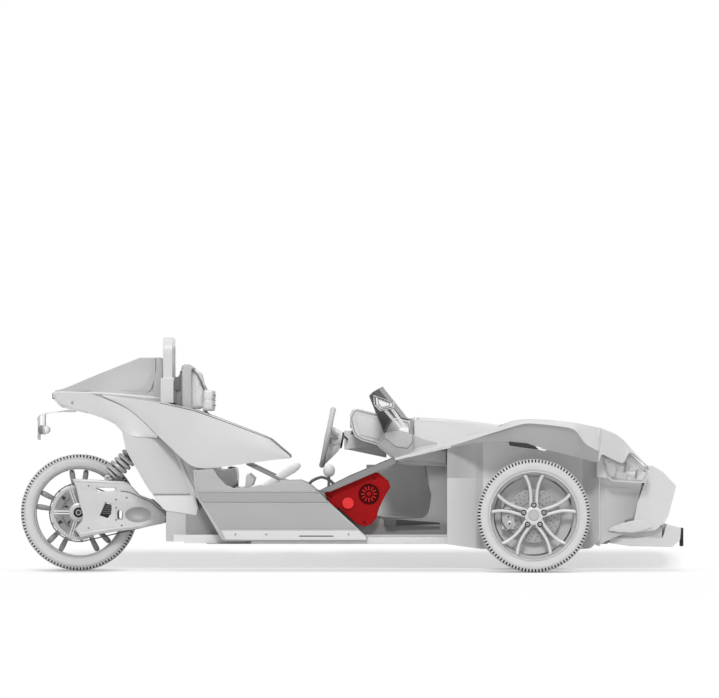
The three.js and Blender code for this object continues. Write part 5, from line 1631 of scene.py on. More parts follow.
# Brake discs: a drilled face ring on each disc
def drilled(name, radius, inner, face, outward, centre, count, paint):
    parts = [painted(turnedShape("face", [(radius, face), (radius, face + 7), (inner, face + 7),
        (inner, face)], origin, 80), paint)]
    # the drill holes are dark discs on the face, painted shade of the holes
    hole = turnedShape("hole", [(0.01, face - 0.6), (4.2, face - 0.6), (4.2, face + 2), (0.01, face + 2)],
        origin, 10)
    for share, turn in ((0.3, 0), (0.55, 5), (0.8, 10)):
        spot = hole.copy()
        spot.data = hole.data.copy()
        scene.collection.objects.link(spot)
        spot.data.transform(Matrix.Translation((0, 0, (inner + (radius - inner) * share) / 1000)))
        parts.append(aroundAxle(spot, count, turn, origin, "dark"))
    bpy.data.objects.remove(hole)
    return outwards(merged(name, parts), centre, outward)


for side, sign in bothSides:
    disc = drilled(f"discFace_{side}", 157, 82, -9.6, sign, frontAxle[side], 24, "frontDisc")
    fit(disc, f"wheel_{side}", "steel")
fit(drilled("discFace_rear", 144, 80, -97.4, 1, rearAxle, 24, "rearDisc"), "rear_wheel", "steel")


# Front callipers: body, pistons and a bridge pipe
def calliper(side):
    centre = frontAxle["left"]
    parts = Parts()
    arcRings = []
    for angle in (154, 162, 172, 182, 192, 202, 208):
        a = math.radians(angle)
        arcRings.append([
            Vector((centre.x + r / 1000 * math.cos(a), centre.y + y / 1000,
            centre.z + r / 1000 * math.sin(a)))
            for r, y in ((118, 31), (116, 36), (134, 41), (166, 41), (184, 34), (184, 31))
        ])
    parts.add("trim", smoothBy(loft("body", arcRings), 34))
    for angle in (166, 182, 198):
        a = math.radians(angle)
        spot = Vector((centre.x + 0.148 * math.cos(a), centre.y + 0.041, centre.z + 0.148 * math.sin(a)))
        parts.add("forged", disk("piston", spot, spot + Vector((0, 0.005, 0)), [(0, 17), (0.7, 17), (1, 14)],
            24))
        parts.add("black", disk("pistonBolt", spot, spot + Vector((0, 0.008, 0)), [(0, 6), (0.9, 6), (1, 5)],
            6))
    bridge = [Vector((centre.x + r / 1000 * math.cos(math.radians(angle)), centre.y + 0.039,
        centre.z + r / 1000 * math.sin(math.radians(angle))))
        for r, angle in ((176, 158), (190, 168), (192, 182), (190, 196), (176, 206))]
    parts.add("black", rod("pipe", bridge, 2.5, 8, True))
    return merged(f"calliper_{side}", parts)


for side, piece in both(calliper).items():
    fit(piece, f"upright_{side}", "metal")


# Dust shields behind the front discs
def shield(side):
    centre = frontAxle["left"]
    profile = [(70, -24), (70, -27), (196, -31), (223, -26), (226, -26), (199, -34), (68, -30), (66, -24)]
    ring = turnedShape(f"shield_{side}", profile, centre, 64)
    ring.data.transform(Matrix.Translation((0, centre.y, 0)))
    return painted(ring, "shield")


for side, piece in both(shield).items():
    fit(piece, f"upright_{side}", "metal")
print("running gear made")
# Seats: each pad swells as cloth, then seams are sewn into it
seatShape = {"voxel": 0.0055, "frames": 20, "pressure": 4}


def swollen(obj, cap):  # cap in millimetres
    remesh = obj.modifiers.new("remesh", "REMESH")
    remesh.mode, remesh.voxel_size, remesh.use_smooth_shade = "VOXEL", seatShape["voxel"], True
    settled(obj)
    start = [vertex.co.copy() for vertex in obj.data.vertices]
    cloth = obj.modifiers.new("swell", "CLOTH")
    rules = cloth.settings
    rules.quality, rules.mass = 6, 0.3
    rules.tension_stiffness = rules.compression_stiffness = 14
    rules.shear_stiffness, rules.bending_stiffness = 5, 0.6
    rules.use_pressure, rules.uniform_pressure_force = True, seatShape["pressure"]
    rules.effector_weights.gravity = 0
    cloth.collision_settings.use_collision = cloth.collision_settings.use_self_collision = False
    cloth.point_cache.frame_start, cloth.point_cache.frame_end = 1, seatShape["frames"]
    for step in range(1, seatShape["frames"] + 1):
        scene.frame_set(step)
    evaluated = obj.evaluated_get(bpy.context.evaluated_depsgraph_get()).to_mesh()
    moved = [vertex.co.copy() for vertex in evaluated.vertices]
    obj.modifiers.clear()
    scene.frame_set(1)
    for vertex, before, after in zip(obj.data.vertices, start, moved):
        step = after - before
        vertex.co = before + step * min(1, cap / 1000 / max(step.length, 1e-9))
    return obj


def sewn(obj, lines, depth=5, reach=7):  # lines: (axis, place in mm): a channel pressed along it
    mesh = obj.data
    moves = []
    for vertex in mesh.vertices:
        x = (vertex.co.x - rearAxle.x) * 1000
        spot = (x, vertex.co.y * 1000, vertex.co.z * 1000)
        push = 0
        for axis, where in lines:
            gap = (spot[axis] - where) / reach
            push = max(push, depth * math.exp(-gap * gap))
        moves.append(vertex.normal * push / 1000)
    for vertex, move in zip(mesh.vertices, moves):
        vertex.co -= move
    return obj


def padPiece(name, outline, y0, y1, cap, lines, edge=20):
    pad = plate(name, outline, y0, y1, edge=edge, steps=3)
    swollen(pad, cap)
    sewn(pad, lines)
    finer = pad.modifiers.new("finer", "SUBSURF")
    finer.levels = finer.render_levels = 1
    settled(pad)
    for face in pad.data.polygons:
        face.use_smooth = True
    return painted(pad, "seat")


wingOutline = [
    (700, 700), (760, 520), (830, 440), (940, 505), (944, 560), (938, 606), (860, 600), (815, 618),
    (792, 800), (775, 900), (730, 920), (672, 910),
]
shoulderOutline = [(736, 942), (742, 1062), (798, 1062), (794, 942)]
seatPads = {
    "Cushion": {
        "outline": [(862, 415), (842, 478), (900, 486), (1060, 484), (1225, 492), (1252, 470), (1246, 420),
        (1100, 412)],
        "y": (160, 464), "cap": 10, "lines": [(0, 960), (0, 1070), (0, 1180), (1, 236), (1, 388)],
    },
    "Back": {
        "outline": [(778, 560), (848, 500), (806, 640), (780, 800), (772, 905), (740, 930), (680, 930),
        (694, 860), (722, 720)],
        "y": (160, 464), "cap": 10, "lines": [(2, 640), (2, 730), (2, 820), (1, 236), (1, 388)],
    },
    "Head": {
        "outline": [(664, 952), (660, 1060), (658, 1190), (690, 1186), (712, 1170), (734, 1068), (738, 960)],
        "y": (172, 452), "cap": 9, "lines": [(1, 222), (1, 402)],
    },
    "WingInner": {
        "outline": wingOutline,
        "y": (128, 164), "cap": 6, "lines": [(1, 146)],
    },
    "WingOuter": {
        "outline": wingOutline,
        "y": (460, 496), "cap": 6, "lines": [(1, 478)],
    },
    "ShoulderInner": {"outline": shoulderOutline, "y": (136, 198), "cap": 5, "lines": [(2, 1004)]},
    "ShoulderOuter": {"outline": shoulderOutline, "y": (426, 488), "cap": 5, "lines": [(2, 1004)]},
}


def seatShell(side):
    outline = [
        (792, 292), (690, 600), (645, 800), (614, 964), (613, 1190), (630, 1215), (668, 1206), (682, 1192),
        (672, 1180), (672, 964), (708, 800), (742, 640), (800, 470), (842, 412), (1210, 404), (1262, 466),
        (1268, 440), (1248, 335), (1200, 292),
    ]
    shellPart = plate("shell", outline, 130, 494, edge=12, steps=3)
    piping = [at(x, 128, z) for x, z in ((640, 1214), (660, 1208), (676, 1190), (674, 964), (708, 812),
        (744, 650))]
    parts = Parts([painted(shellPart, "seatShell"), painted(rod("piping", piping, 3, 8), "dark")])
    # closing plate behind the seat back, dark to stand for the shade between hoop and seat
    backFill = plate("backFill", [(580, 956), (580, 1090), (598, 1150), (616, 1150), (616, 956)], 150, 474,
        edge=4)
    parts.add("rail", backFill)
    for y in (190, 434):  # belt guides; their slots are black sheets, painted shade of the openings
        parts.add("trim", box("guide", (604, y - 34, 1140), (616, y + 34, 1176), 4))
        parts.add("black", box("slot", (602, y - 24, 1152), (606, y + 24, 1164), 1))
    for z in (972, 1000, 1030):
        parts.add("dark", box("rib", (798, 142, z), (801, 192, z + 5), 1))
        parts.add("dark", box("rib", (798, 432, z), (801, 482, z + 5), 1))
    return merged(f"seatShell_{side}", parts)


fitBoth(both(seatShell), "plastic", "seat")
seatPieces = []
for padName, look in seatPads.items():
    pad = padPiece(f"seat{padName}_left", look["outline"], *look["y"], look["cap"], look["lines"], 12
        if "Wing" in padName else 18)
    other = mirrored(pad, f"seat{padName}_right")
    for side, piece in (("left", pad), ("right", other)):
        fit(piece, "chassis", "seat_cover", f"seat_{side}")
    seatPieces.append(pad)
print("seats made")

# Belts: flat webbing laid on the pads


def padSurface():
    points, faces = [], []
    for pad in seatPieces:
        offset = len(points)
        points += [vertex.co.copy() for vertex in pad.data.vertices]
        faces += [[offset + i for i in face.vertices] for face in pad.data.polygons]
    return BVHTree.FromPolygons(points, faces)


def webbing(name, path, normals, width, thick=1.6):
    rings = []
    for i, (point, normal) in enumerate(zip(path, normals)):
        along = (path[min(i + 1, len(path) - 1)] - path[max(i - 1, 0)]).normalized()
        across = along.cross(normal).normalized() * width / 2000
        out = normal.normalized() * thick / 1000
        rings.append([point - across, point + across, point + across + out, point - across + out])
    return smoothBy(loft(name, rings), 40)


def belts(side):
    surface = padSurface()
    path, normals = [at(590, 470, 1130), at(612, 468, 1228), at(655, 462, 1232)], [Vector((-1, 0, 0)),
        Vector((-0.5, 0, 1)), Vector((0.4, 0, 1))]
    for i in range(24):
        share = i / 23
        y, z = 455 - 265 * share ** 1.15, 1170 - 620 * share
        hit = surface.ray_cast(at(1400, y, z), Vector((-1, 0, 0)))
        if hit[0] is not None and hit[0].x < at(900, 0, 0).x:
            path.append(hit[0] + Vector((0.007, 0, 0)))
            normals.append(Vector((1, 0, 0.15)))
    smooth = [path[0]] + [(path[i - 1] + path[i] * 2 + path[i + 1]) / 4
        for i in range(1, len(path) - 1)] + [path[-1]]
    smooth = [smooth[i] if i < 3 else Vector((max(smooth[i].x, path[i].x), *smooth[i][1:]))
        for i in range(len(smooth))]
    parts = Parts([painted(webbing("shoulderBelt", smooth, normals, 46), "belt")])
    lap, lapNormals = [], []
    for i in range(16):
        y = 168 + 318 * i / 15
        hit = surface.ray_cast(at(905, y, 800), Vector((0, 0, -1)))
        if hit[0] is not None:
            lap.append(hit[0] + Vector((0, 0, 0.005)))
            lapNormals.append(Vector((0.15, 0, 1)))
    parts.add("belt", webbing("lapBelt", lap, lapNormals, 46))
    parts.add("dark", box("buckle", (872, 148, 486), (938, 178, 536), 7))
    parts.add("trim", box("button", (884, 146, 532), (926, 180, 541), 4))
    parts.add("dark", box("reel", (566, 440, 1060), (604, 496, 1140), 8))
    return merged(f"belt_{side}", parts)


fitBoth(both(belts), "belt")

# Steering wheel, made round its column
column = {"x": -1203, "y": 380, "z": 785, "radius": 168, "tube": 15, "dish": 72, "tilt": 11.4}
columnAxis = Vector((math.cos(math.radians(column["tilt"])), 0, -math.sin(math.radians(column["tilt"]))))
wheelPlace = front(column["x"], column["y"], column["z"])


def onWheel(across, up, along):  # millimetres in the plane of the steering wheel
    right = Vector((0, 1, 0))
    high = columnAxis.cross(right) * -1
    return wheelPlace + right * across / 1000 + high * up / 1000 + columnAxis * along / 1000


def steeringWheelPiece():
    rings = []
    for a in angles(72):
        ring = []
        grip = 1 + 0.1 * math.cos(2 * a) ** 8
        for b in angles(14):
            r = column["radius"] + column["tube"] * grip * math.cos(b)
            ring.append(onWheel(r * math.sin(a), r * math.cos(a),
                column["tube"] * 1.05 * grip * math.sin(b)))
        rings.append(ring)
    rings.append(rings[0])
    parts = Parts([painted(smoothBy(loft("rim", rings, caps=False), 60), "leather")])
    tidied(parts[0])
    for angle, wide in ((0, 92), (108, 44), (-108, 44)):
        a = math.radians(angle)
        sections = []
        low = angle == 0  # the lower web fills out to the boss
        depths = ((33, 57), (29, 49), (16, 28), (0, 15)) if low else ((50, 22), (44, 16), (22, 12), (2, 12))
        for radius, (along, thick), half in zip((30, 70, 120, 162), depths,
                (wide, wide * 0.85, wide * 0.7, wide * 0.6)):
            centre = (radius * math.sin(a), radius * math.cos(a))
            cross = (math.cos(a), -math.sin(a))
            sections.append([
                onWheel(centre[0] + cross[0] * half / 2 * w, centre[1] + cross[1] * half / 2 * w,
                along + thick * d)
                for w, d in ((-1, 0), (-0.8, -0.5), (0.8, -0.5), (1, 0), (1, 0.6), (0.7, 1), (-0.7, 1),
                (-1, 0.6))
            ])
        parts.add("columnCover", smoothBy(loft("spoke", sections), 45))
    parts.add("columnCover", disk("boss", onWheel(0, 0, 6), onWheel(0, 0, 84),
        [(0, 48), (0.08, 68), (0.3, 67), (0.8, 55), (1, 48)], 40))
    parts.add("trim", disk("bossRing", onWheel(0, 0, 2), onWheel(0, 0, 12), [(0, 30), (0.3, 33), (1, 33)],
        40))
    parts.add("black", disk("collar", onWheel(0, 0, 82), onWheel(0, 0, 96),
        [(0, 46), (0.2, 49), (0.8, 49), (1, 44)], 32))
    end = (coverBackX - column["x"]) / columnAxis.x - 6
    parts.add("bolt", disk("shaft", onWheel(0, 0, 84), onWheel(0, 0, end), [(0, 24), (1, 24)], 24))
    for side in (-1, 1):
        for row in (-1, 0, 1):
            spot = onWheel(side * (62 + 9 * abs(row)), 14 * row + 16, 24)
            parts.add("dark", disk("button", spot, spot - columnAxis * 0.006, [(0, 5), (0.7, 5), (1, 3.6)],
                12))
    return merged("steeringWheel", parts)


coverBackX = -1104
fit(steeringWheelPiece(), "steering_wheel_body", "plastic", "steering_wheel")

shroud = plate("columnShroud", fromFront(((-1100, 822), (-1012, 803), (-930, 790), (-853, 740), (-853, 664),
    (-1100, 716))),
    330, 430, edge=10, steps=3)
fit(painted(shroud, "columnCover"), "chassis", "plastic")

# Column stalks, gear lever knob and boot, hand brake
for name, y0, y1 in (("stalkRight", 305, 240), ("stalkLeft", 455, 520)):
    path = [front(-1085, y0, 772), front(-1092, (y0 + y1) / 2, 780), front(-1104, y1, 792)]
    fit(painted(rod(name, path, 6, 12, True), "dark"), "chassis", "plastic")
leverX = wheelbase - 1197
knobCentre = at(leverX + 4, 0, 590)
knob = disk("gearKnob", knobCentre - Vector((0, 0, 0.037)), knobCentre + Vector((0, 0, 0.037)),
    [(0, 12), (0.05, 20), (0.2, 31), (0.4, 35.5), (0.6, 35.5), (0.8, 29), (0.95, 16), (1, 3)], 32)
fit(painted(knob, "pale"), "chassis", "plastic")
bootRings = []
for i in range(13):
    share = i / 12
    wide = 44 - 30 * share + (2.5 if i % 2 else -1.5)
    corner = 0.32
    bootRings.append([
        at(leverX + 4 * share + wide * math.copysign(abs(math.cos(a)) ** corner, math.cos(a)),
        0.85 * wide * math.copysign(abs(math.sin(a)) ** corner, math.sin(a)),
            400 + 95 * share)
        for a in angles(32)
    ])
fit(painted(smoothBy(loft("gearBoot", bootRings), 60), "black"), "chassis", "plastic")


def handBrake():
    rings = []
    for share, wide, high in ((0, 9, 14), (0.15, 10, 17), (0.5, 11, 20), (0.8, 13, 24), (0.95, 11, 18),
            (1, 6, 9)):
        x, z = 1082 + 222 * share, 490 + 138 * share
        rings.append([at(x - 0.5 * high * math.sin(a), wide * math.cos(a), z + high * math.sin(a))
            for a in angles(16)])
    parts = Parts([painted(smoothBy(loft("grip", rings), 50), "pale")])
    parts.add("bolt", rod("lever", [at(1060, 0, 400), at(1066, 0, 470), at(1090, 0, 495)], 8, 12))
    parts.add("dark", box("base", (1020, -34, 379), (1120, 34, 404), 6))
    return merged("handBrake", parts)


fit(handBrake(), "chassis", "plastic")


def sideBrace(side):  # stay between the blade and the rocker, and its foot
    stay = rod("stay", [at(996, 672, 634), at(1224, 696, 524)], 10, 16)
    foot = plate("foot", [(985, 486), (992, 560), (1004, 576), (1040, 545), (1024, 500)], 664, 690, edge=3)
    cap = box("cap", (1184, 680, 512), (1232, 712, 536), 5)
    return merged(f"sideBrace_{side}", [painted(stay, "rail"), painted(foot, "trim"), painted(cap, "trim")])


fitBoth(both(sideBrace), "metal")
print("interior made")
wallOut = 560  # outer face of the tub

# Kick panel: speaker with radial marks, courtesy lamp, edge bead and clip
kickShape = {
    "speaker": (-958, 455), "lamp": (-1080, 402), "face": 640,
    "outline": [
        (-1215, 461), (-946, 583), (-905, 577), (-847, 531), (-835, 496), (-870, 437), (-899, 379),
        (-917, 315), (-946, 280), (-981, 268), (-1022, 280), (-1127, 373), (-1185, 396), (-1215, 391),
        (-1185, 420),
    ],
}


def facing(profile, x, z, y, steps=48):  # round part on the panel's face: profile of radius and rise
    piece = turnedShape("round", [(r, -rise) for r, rise in profile], origin, steps)
    piece.data.transform(Matrix.Diagonal((1, -1, 1, 1)))
    piece.data.flip_normals()
    piece.data.transform(Matrix.Translation(front(x, y, z)))
    return piece


def kickDetail(side):
    shape = kickShape
    face = shape["face"]
    x, z = shape["speaker"]
    parts = Parts([
        painted(facing([(60, 0), (60, 7), (56, 9), (51, 8), (49, 4), (49, 0)], x, z, face), "ring"),
        painted(facing([(49.5, 0), (49.5, 5.2), (0.01, 6.2), (0.01, 0)], x, z, face), "ring"),
        painted(facing([(13, 3), (13, 8), (9, 9.5), (0.01, 10), (0.01, 3)], x, z, face), "kick"),
    ])
    mark = [[Vector((w, 5 + d, r)) / 1000 for w, r in ((-2.4, 23), (-3.4, 46), (3.4, 46), (2.4, 23))]
        for d in (0, 4.2)]
    spot = front(x, face, z)
    parts.append(aroundAxle(loft("mark", mark), 12, 0, spot, "mark"))
    x, z = shape["lamp"]
    parts.add("kick", facing([(39, 0), (39, 5), (36, 7), (33, 5), (33, 0)], x, z, face))
    parts.add("salmon", facing([(33.2, 0), (33.2, 5), (20, 7), (0.01, 8), (0.01, 0)], x, z, face))
    bead = [front(px, face - 1, pz) for px, pz in shape["outline"]]
    parts.add("kick", rod("bead", closedPath(bead), 3, 8))
    clip = plate("clip", [(wheelbase - 1232 + dx, 392 + dz)
        for dx, dz in ((0, 0), (30, 14), (34, 8), (8, -10), (-6, -8))], 626, 640, edge=2)
    parts.add("kick", clip)
    for px, pz in ((-1180, 440), (-925, 545), (-985, 290)):
        parts.add("ring", facing([(6, 0), (6, 2.5), (4, 3.5), (0.01, 3.5), (0.01, 0)], px, pz, face, 12))
    return merged(f"kickDetail_{side}", parts)


fitBoth(both(kickDetail), "accent")

# Headlamp: bezel, reflectors, two projectors and light bars behind the clear cover
lampOutline = [(391, 690), (413, 625), (425, 566), (459, 537), (653, 526), (673, 583), (663, 596),
    (622, 636), (561, 694)]

lampMiddle = (533, 610)


def lampRing(share, y):  # the lamp's outline drawn in towards its middle
    middleX, middleZ = lampMiddle
    return [front(middleX + share * (x - middleX), y, middleZ + share * (z - middleZ))
        for x, z in lampOutline]


def lampPiece(side):
    parts = Parts([painted(smoothBy(loft("housing", [lampRing(*place) for place in (
        (1, 552), (1, 640), (0.99, 700), (0.97, 712), (0.92, 712), (0.88, 690))], caps=False), 30), "deck")])
    parts.add("pale", smoothBy(loft("back", [lampRing(0.95, 676), lampRing(0.95, 682)]), 30))
    facets = [
        [(400, 680), (430, 570), (470, 548), (500, 640)], [(505, 640), (478, 548), (540, 540), (560, 610)],
        [(566, 612), (548, 540), (640, 534), (658, 582)],
    ]
    for i, outline in enumerate(facets):
        parts.add("chrome" if i != 1 else "pale",
            plate("facet", fromFront(outline), 681, 692 + 5 * i, edge=4, steps=2))
    for x, z, radius in ((520, 618, 26), (584, 580, 24)):
        start, end = front(x - 34, 706, z), front(x + 34, 714, z - 10)
        parts.add("chrome", disk("projector", start, end,
            [(0, radius * 0.6), (0.3, radius * 0.9), (0.7, radius), (0.78, radius), (0.8, radius - 5)]))
        parts.add("clear", disk("eye", start.lerp(end, 0.76), start.lerp(end, 1.05),
            [(0, radius - 5), (0.4, radius - 8), (0.8, radius * 0.45), (1, 2)]))
        parts.add("dark", disk("bezel", start.lerp(end, 0.68), start.lerp(end, 0.84),
            [(0, radius + 3), (1, radius + 3)]))
    for i in range(3):
        path = [front(x - 10 * i, 722 - 3 * i, z - 15 * i)
            for x, z in ((452, 672), (560, 676), (612, 634), (646, 598))]
        parts.add("body", rod("lightBar", path, 3.4, 8))
    parts.add("body", rod("lip", [front(x, 744, z - 3) for x, z in lampOutline[2:7]], 6, 8))
    parts.add("trim", rod("edge", closedPath(lampRing(0.985, 713)), 3, 8))
    return merged(f"lampInner_{side}", parts)


fitBoth(both(lampPiece), "lamps")


def lampCover(side):
    rings = [lampRing(*place) for place in ((0.99, 714), (0.97, 736), (0.9, 757), (0.7, 770), (0.35, 776))]
    cover = loft(f"lampCover_{side}", rings, caps=False)
    cap = bmesh.new()
    cap.from_mesh(cover.data)
    cap.faces.new([vertex for vertex in cap.verts if vertex.co.y > 0.7755])
    cap.to_mesh(cover.data)
    cap.free()
    wall = cover.modifiers.new("wall", "SOLIDIFY")
    wall.thickness, wall.offset = 0.002, -1
    settled(cover)
    return painted(smoothBy(tidied(cover), 30), "clear")


fitBoth(both(lampCover), "lamps", "headlamp")

# Mirror: gasket, beads, glass and a base plate at the foot
mirrorShape = {"x": -870, "middle": 985, "outline": [(-64, 1033), (64, 986), (58, 957), (35, 951),
    (-24, 939), (-59, 974)]}


def mirrorDetail(side):
    def loop(y, share):
        middle = mirrorShape["middle"]
        return [front(mirrorShape["x"] + share * x, y, middle + share * (z - middle))
            for x, z in mirrorShape["outline"]]
    loops = [loop(690, 0.75), loop(780, 1.0), loop(880, 0.8)]
    parts = Parts([painted(rod("gasket", closedPath(loops[1]), 3, 8), "dark")])
    parts.add("dark", rod("outerBead", [p + Vector((0, 0.001, 0)) for p in closedPath(loops[2])], 3, 8))
    parts.add("dark", rod("inlay", closedPath(loop(884, 0.55)), 2, 8))
    glass = [loops[0][0], loops[1][0], loops[2][0], loops[2][5], loops[1][5], loops[0][5]]
    middle = sum(glass, Vector()) / 6
    sheet = [[middle + (p - middle) * 0.86 + Vector((-0.0035 - back, 0, -0.001)) for p in glass]
        for back in (0, -0.003)]
    parts.add("mirror", loft("glass", sheet))
    rim = [middle + (p - middle) * 0.9 + Vector((-0.003, 0, -0.001)) for p in glass]
    parts.add("dark", rod("glassRim", closedPath(rim), 3.2, 8))
    base = fromFront(((-862, 812), (-792, 826), (-704, 804), (-704, 759), (-734, 722), (-800, 732),
        (-868, 786)))
    parts.add("trim", plate("base", base, 644, 653, edge=4, steps=3))
    parts.add("flank", rod("baseLine", [at(x, 646, z) for x, z in closedPath(base)], 3, 8))
    return merged(f"mirrorDetail_{side}", parts)


fitBoth(both(mirrorDetail), "shade")

# Beads that outline the cowl and the dash, and the wind deflector's edge
cowlLine = [(-862, 800), (-730, 795), (-700, 792), (-700, 716), (-714, 668), (-776, 656), (-818, 672),
    (-905, 744), (-862, 800)]
dashLine = [(-1060, 900), (-1043, 936), (-1026, 943), (-922, 917), (-730, 872), (-716, 812), (-740, 720),
    (-775, 703), (-820, 702), (-922, 757), (-992, 776), (-1030, 797), (-1046, 832), (-1060, 900)]
innerDash = [(-1036, 896), (-1022, 918), (-925, 897), (-830, 872), (-840, 750), (-925, 778), (-1010, 800),
    (-1036, 896)]


def cowlBeads(side):
    parts = Parts([painted(rod("bead", [front(x, 645.5, z) for x, z in cowlLine], 2.4, 8), "flank")])
    parts.add("flank", rod("bead", [front(x, 536, z) for x, z in dashLine], 3, 8))
    pocket = plate("pocket", fromFront(innerDash[:-1]), 534.5, 541, edge=3)
    parts.add("dashboard", pocket)
    return merged(f"cowlBeads_{side}", parts)


fitBoth(both(cowlBeads), "plastic")
screenRows = [(553, -870, 811, -952, 1028), (541, -817, 0, -932, 1048), (450, -762, 0, -902, 1066),
    (250, -727, 0, -879, 1077), (0, -718, 0, -876, 1080)]
headPath = [front(head, y, high + 1) for y, _, _, head, high in screenRows]
headPath = headPath + [Vector((p.x, -p.y, p.z)) for p in headPath[-2::-1]]
fit(painted(rod("screenEdge", headPath, 4, 10), "dark"), "chassis", "dark")
footPath = [front(foot, y, (low or 928 - (foot + 922) * 48 / 207) + 5) for y, foot, low, _, _ in screenRows]
footPath = footPath + [Vector((p.x, -p.y, p.z)) for p in footPath[-2::-1]]
fit(painted(rod("screenSeal", footPath, 7, 10), "dark"), "chassis", "dark")
for side, sign in bothSides:
    post = rod(f"screenPost_{side}", [front(-866, sign * 553, 812), front(-952, sign * 553, 1030)], 4, 10)
    fit(painted(post, "dark"), "chassis", "dark")


# Instruments on the driver's side and a display in the middle of the dash
def dashPiece():
    parts = Parts()
    hood = []
    for x, wide, high in ((-1062, 88, 34), (-1040, 98, 40), (-990, 98, 38)):
        hood.append([front(x, 380 + wide * math.cos(a), 913 + high * math.sin(a))
            for a in (math.pi * i / 16 for i in range(17))]
            + [front(x, 380 - (wide - 8) * math.cos(a), 913 + (high - 8) * math.sin(a))
            for a in (math.pi * i / 16 for i in range(17))])
    parts.add("dashboard", smoothBy(loft("binnacle", hood), 40))
    for y in (335, 425):
        face, depth = front(-1054, y, 880), Vector((-0.009, 0, 0.001))
        parts.add("black", disk("dial", face, face + depth, [(0, 38), (0.9, 38), (1, 35)], 40))
        parts.add("chrome", disk("dialRing", face + depth * 0.8, face + depth * 1.3,
            [(0, 40), (0.6, 40), (1, 37)], 40))
        needle = [face + depth * 1.4, face + depth * 1.4 + Vector((0, 0.018, 0.018))]
        parts.add("body", rod("needle", needle, 1.2, 6))
        for i in range(9):
            a = math.radians(225 - 270 * i / 8)
            spot = face + depth * 1.35 + Vector((0, 0.029 * math.cos(a), 0.029 * math.sin(a)))
            parts.add("body", disk("tick", spot, spot + depth * 0.1, [(0, 1.6), (1, 1.6)], 6))
    frameBox = box("displayFrame", (wheelbase - 1066, -105, 838), (wheelbase - 1036, 105, 930), 6)
    parts.add("dashboard", frameBox)
    parts.add("screenGlass", box("display", (wheelbase - 1067.5, -94, 846), (wheelbase - 1064, 94, 922),
        1.2))
    for y in (-84, -42, 0, 42, 84):
        parts.add("dark", disk("knob", front(-1044, y, 812), front(-1064, y, 812),
            [(0, 11), (0.8, 10), (1, 8)], 20))
    for centre in (-420, -190, 190):
        parts.add("dark", box("ventFrame", (wheelbase - 1063, centre - 55, 866),
            (wheelbase - 1046, centre + 55, 912), 5))
        slat = box("slat", (wheelbase - 1065, centre - 48, 873), (wheelbase - 1060, centre + 48, 876.5), 1)
        parts.append(inRow(slat, 5, (0, 0, 7.6), "trim"))
    return merged("dashFittings", parts)


fit(dashPiece(), "chassis", "plastic")


# Pedals, foot rest and ribs in the footwells
def pedals():
    parts = Parts()
    for y, wide in ((455, 46), (370, 70), (290, 46)):
        pad = box("pad", (wheelbase - 720, y - wide / 2, 300), (wheelbase - 708, y + wide / 2, 372), 4)
        pad.data.transform(Matrix.Translation(front(-714, y, 336)) @ Matrix.Rotation(math.radians(-22), 4,
            "Y")
            @ Matrix.Translation(-front(-714, y, 336)))
        parts.add("bolt", pad)
        rib = box("rib", (wheelbase - 730, y - wide / 2 + 4, 306), (wheelbase - 722, y + wide / 2 - 4, 311),
            1)
        parts.append(inRow(rib, 5, (-4.2, 0, 12), "black"))
        parts.add("bolt", rod("arm", [front(-706, y, 350), front(-660, y, 480), front(-600, y, 600)], 7, 10))
    parts.add("dark", box("hangers", (wheelbase - 620, 260, 588), (wheelbase - 560, 490, 620), 6))
    return merged("pedals", parts)


fit(pedals(), "chassis", "metal")
for side, sign in bothSides:
    low, high = sorted((sign * 130, sign * 540))
    rib = box(f"floorRib_{side}", (1310, low, 167), (1326, high, 172), 2)
    fit(inRow(rib, 16, (40, 0, 0), "black"), "chassis", "dark")
pocketLine = [(-893, 632), (-700, 646), (-642, 662), (-634, 650), (-600, 448), (-606, 362), (-628, 326),
    (-660, 313), (-905, 316)]
for side, sign in bothSides:
    line = rod(f"pocketLine_{side}", [front(x, sign * wallOut, z) for x, z in pocketLine], 3.4, 8, True)
    fit(painted(line, "dark"), "chassis", "dark")
footRod = painted(plate("footRod", [(1869, 307), (1869, 270), (2123, 278), (2123, 287)], -604, -592, edge=2),
    "black")
heel = painted(plate("heel", [(1790, 312), (1808, 262), (1869, 262), (1869, 307)], -602, -594, edge=2),
    "mesh")
fit(merged("footRod", [footRod, heel]), "chassis", "dark")
print("cabin fittings made")


# Roll hoops: joints, caps and fixing screws
def hoopDetail(side):
    parts = Parts()
    for y in (140, 456):
        parts.add("dark", box("joint", (501.5, y - 36, 1077), (578.5, y + 36, 1081), 0.8))
        parts.add("body", box("cuff", (500, y - 38, 1120), (580, y + 38, 1136), 4))
        for z in (1010, 1052, 1105):
            for x, away in ((503, -1), (577, 1)):
                spot = at(x, y, z)
                parts.add("bolt", disk("hoopBolt", spot, spot + Vector((away * 0.005, 0, 0)),
                    [(0, 8), (0.8, 8), (1, 6)], 6))
    return merged(f"hoopDetail_{side}", parts)


fitBoth(both(hoopDetail), "steel")


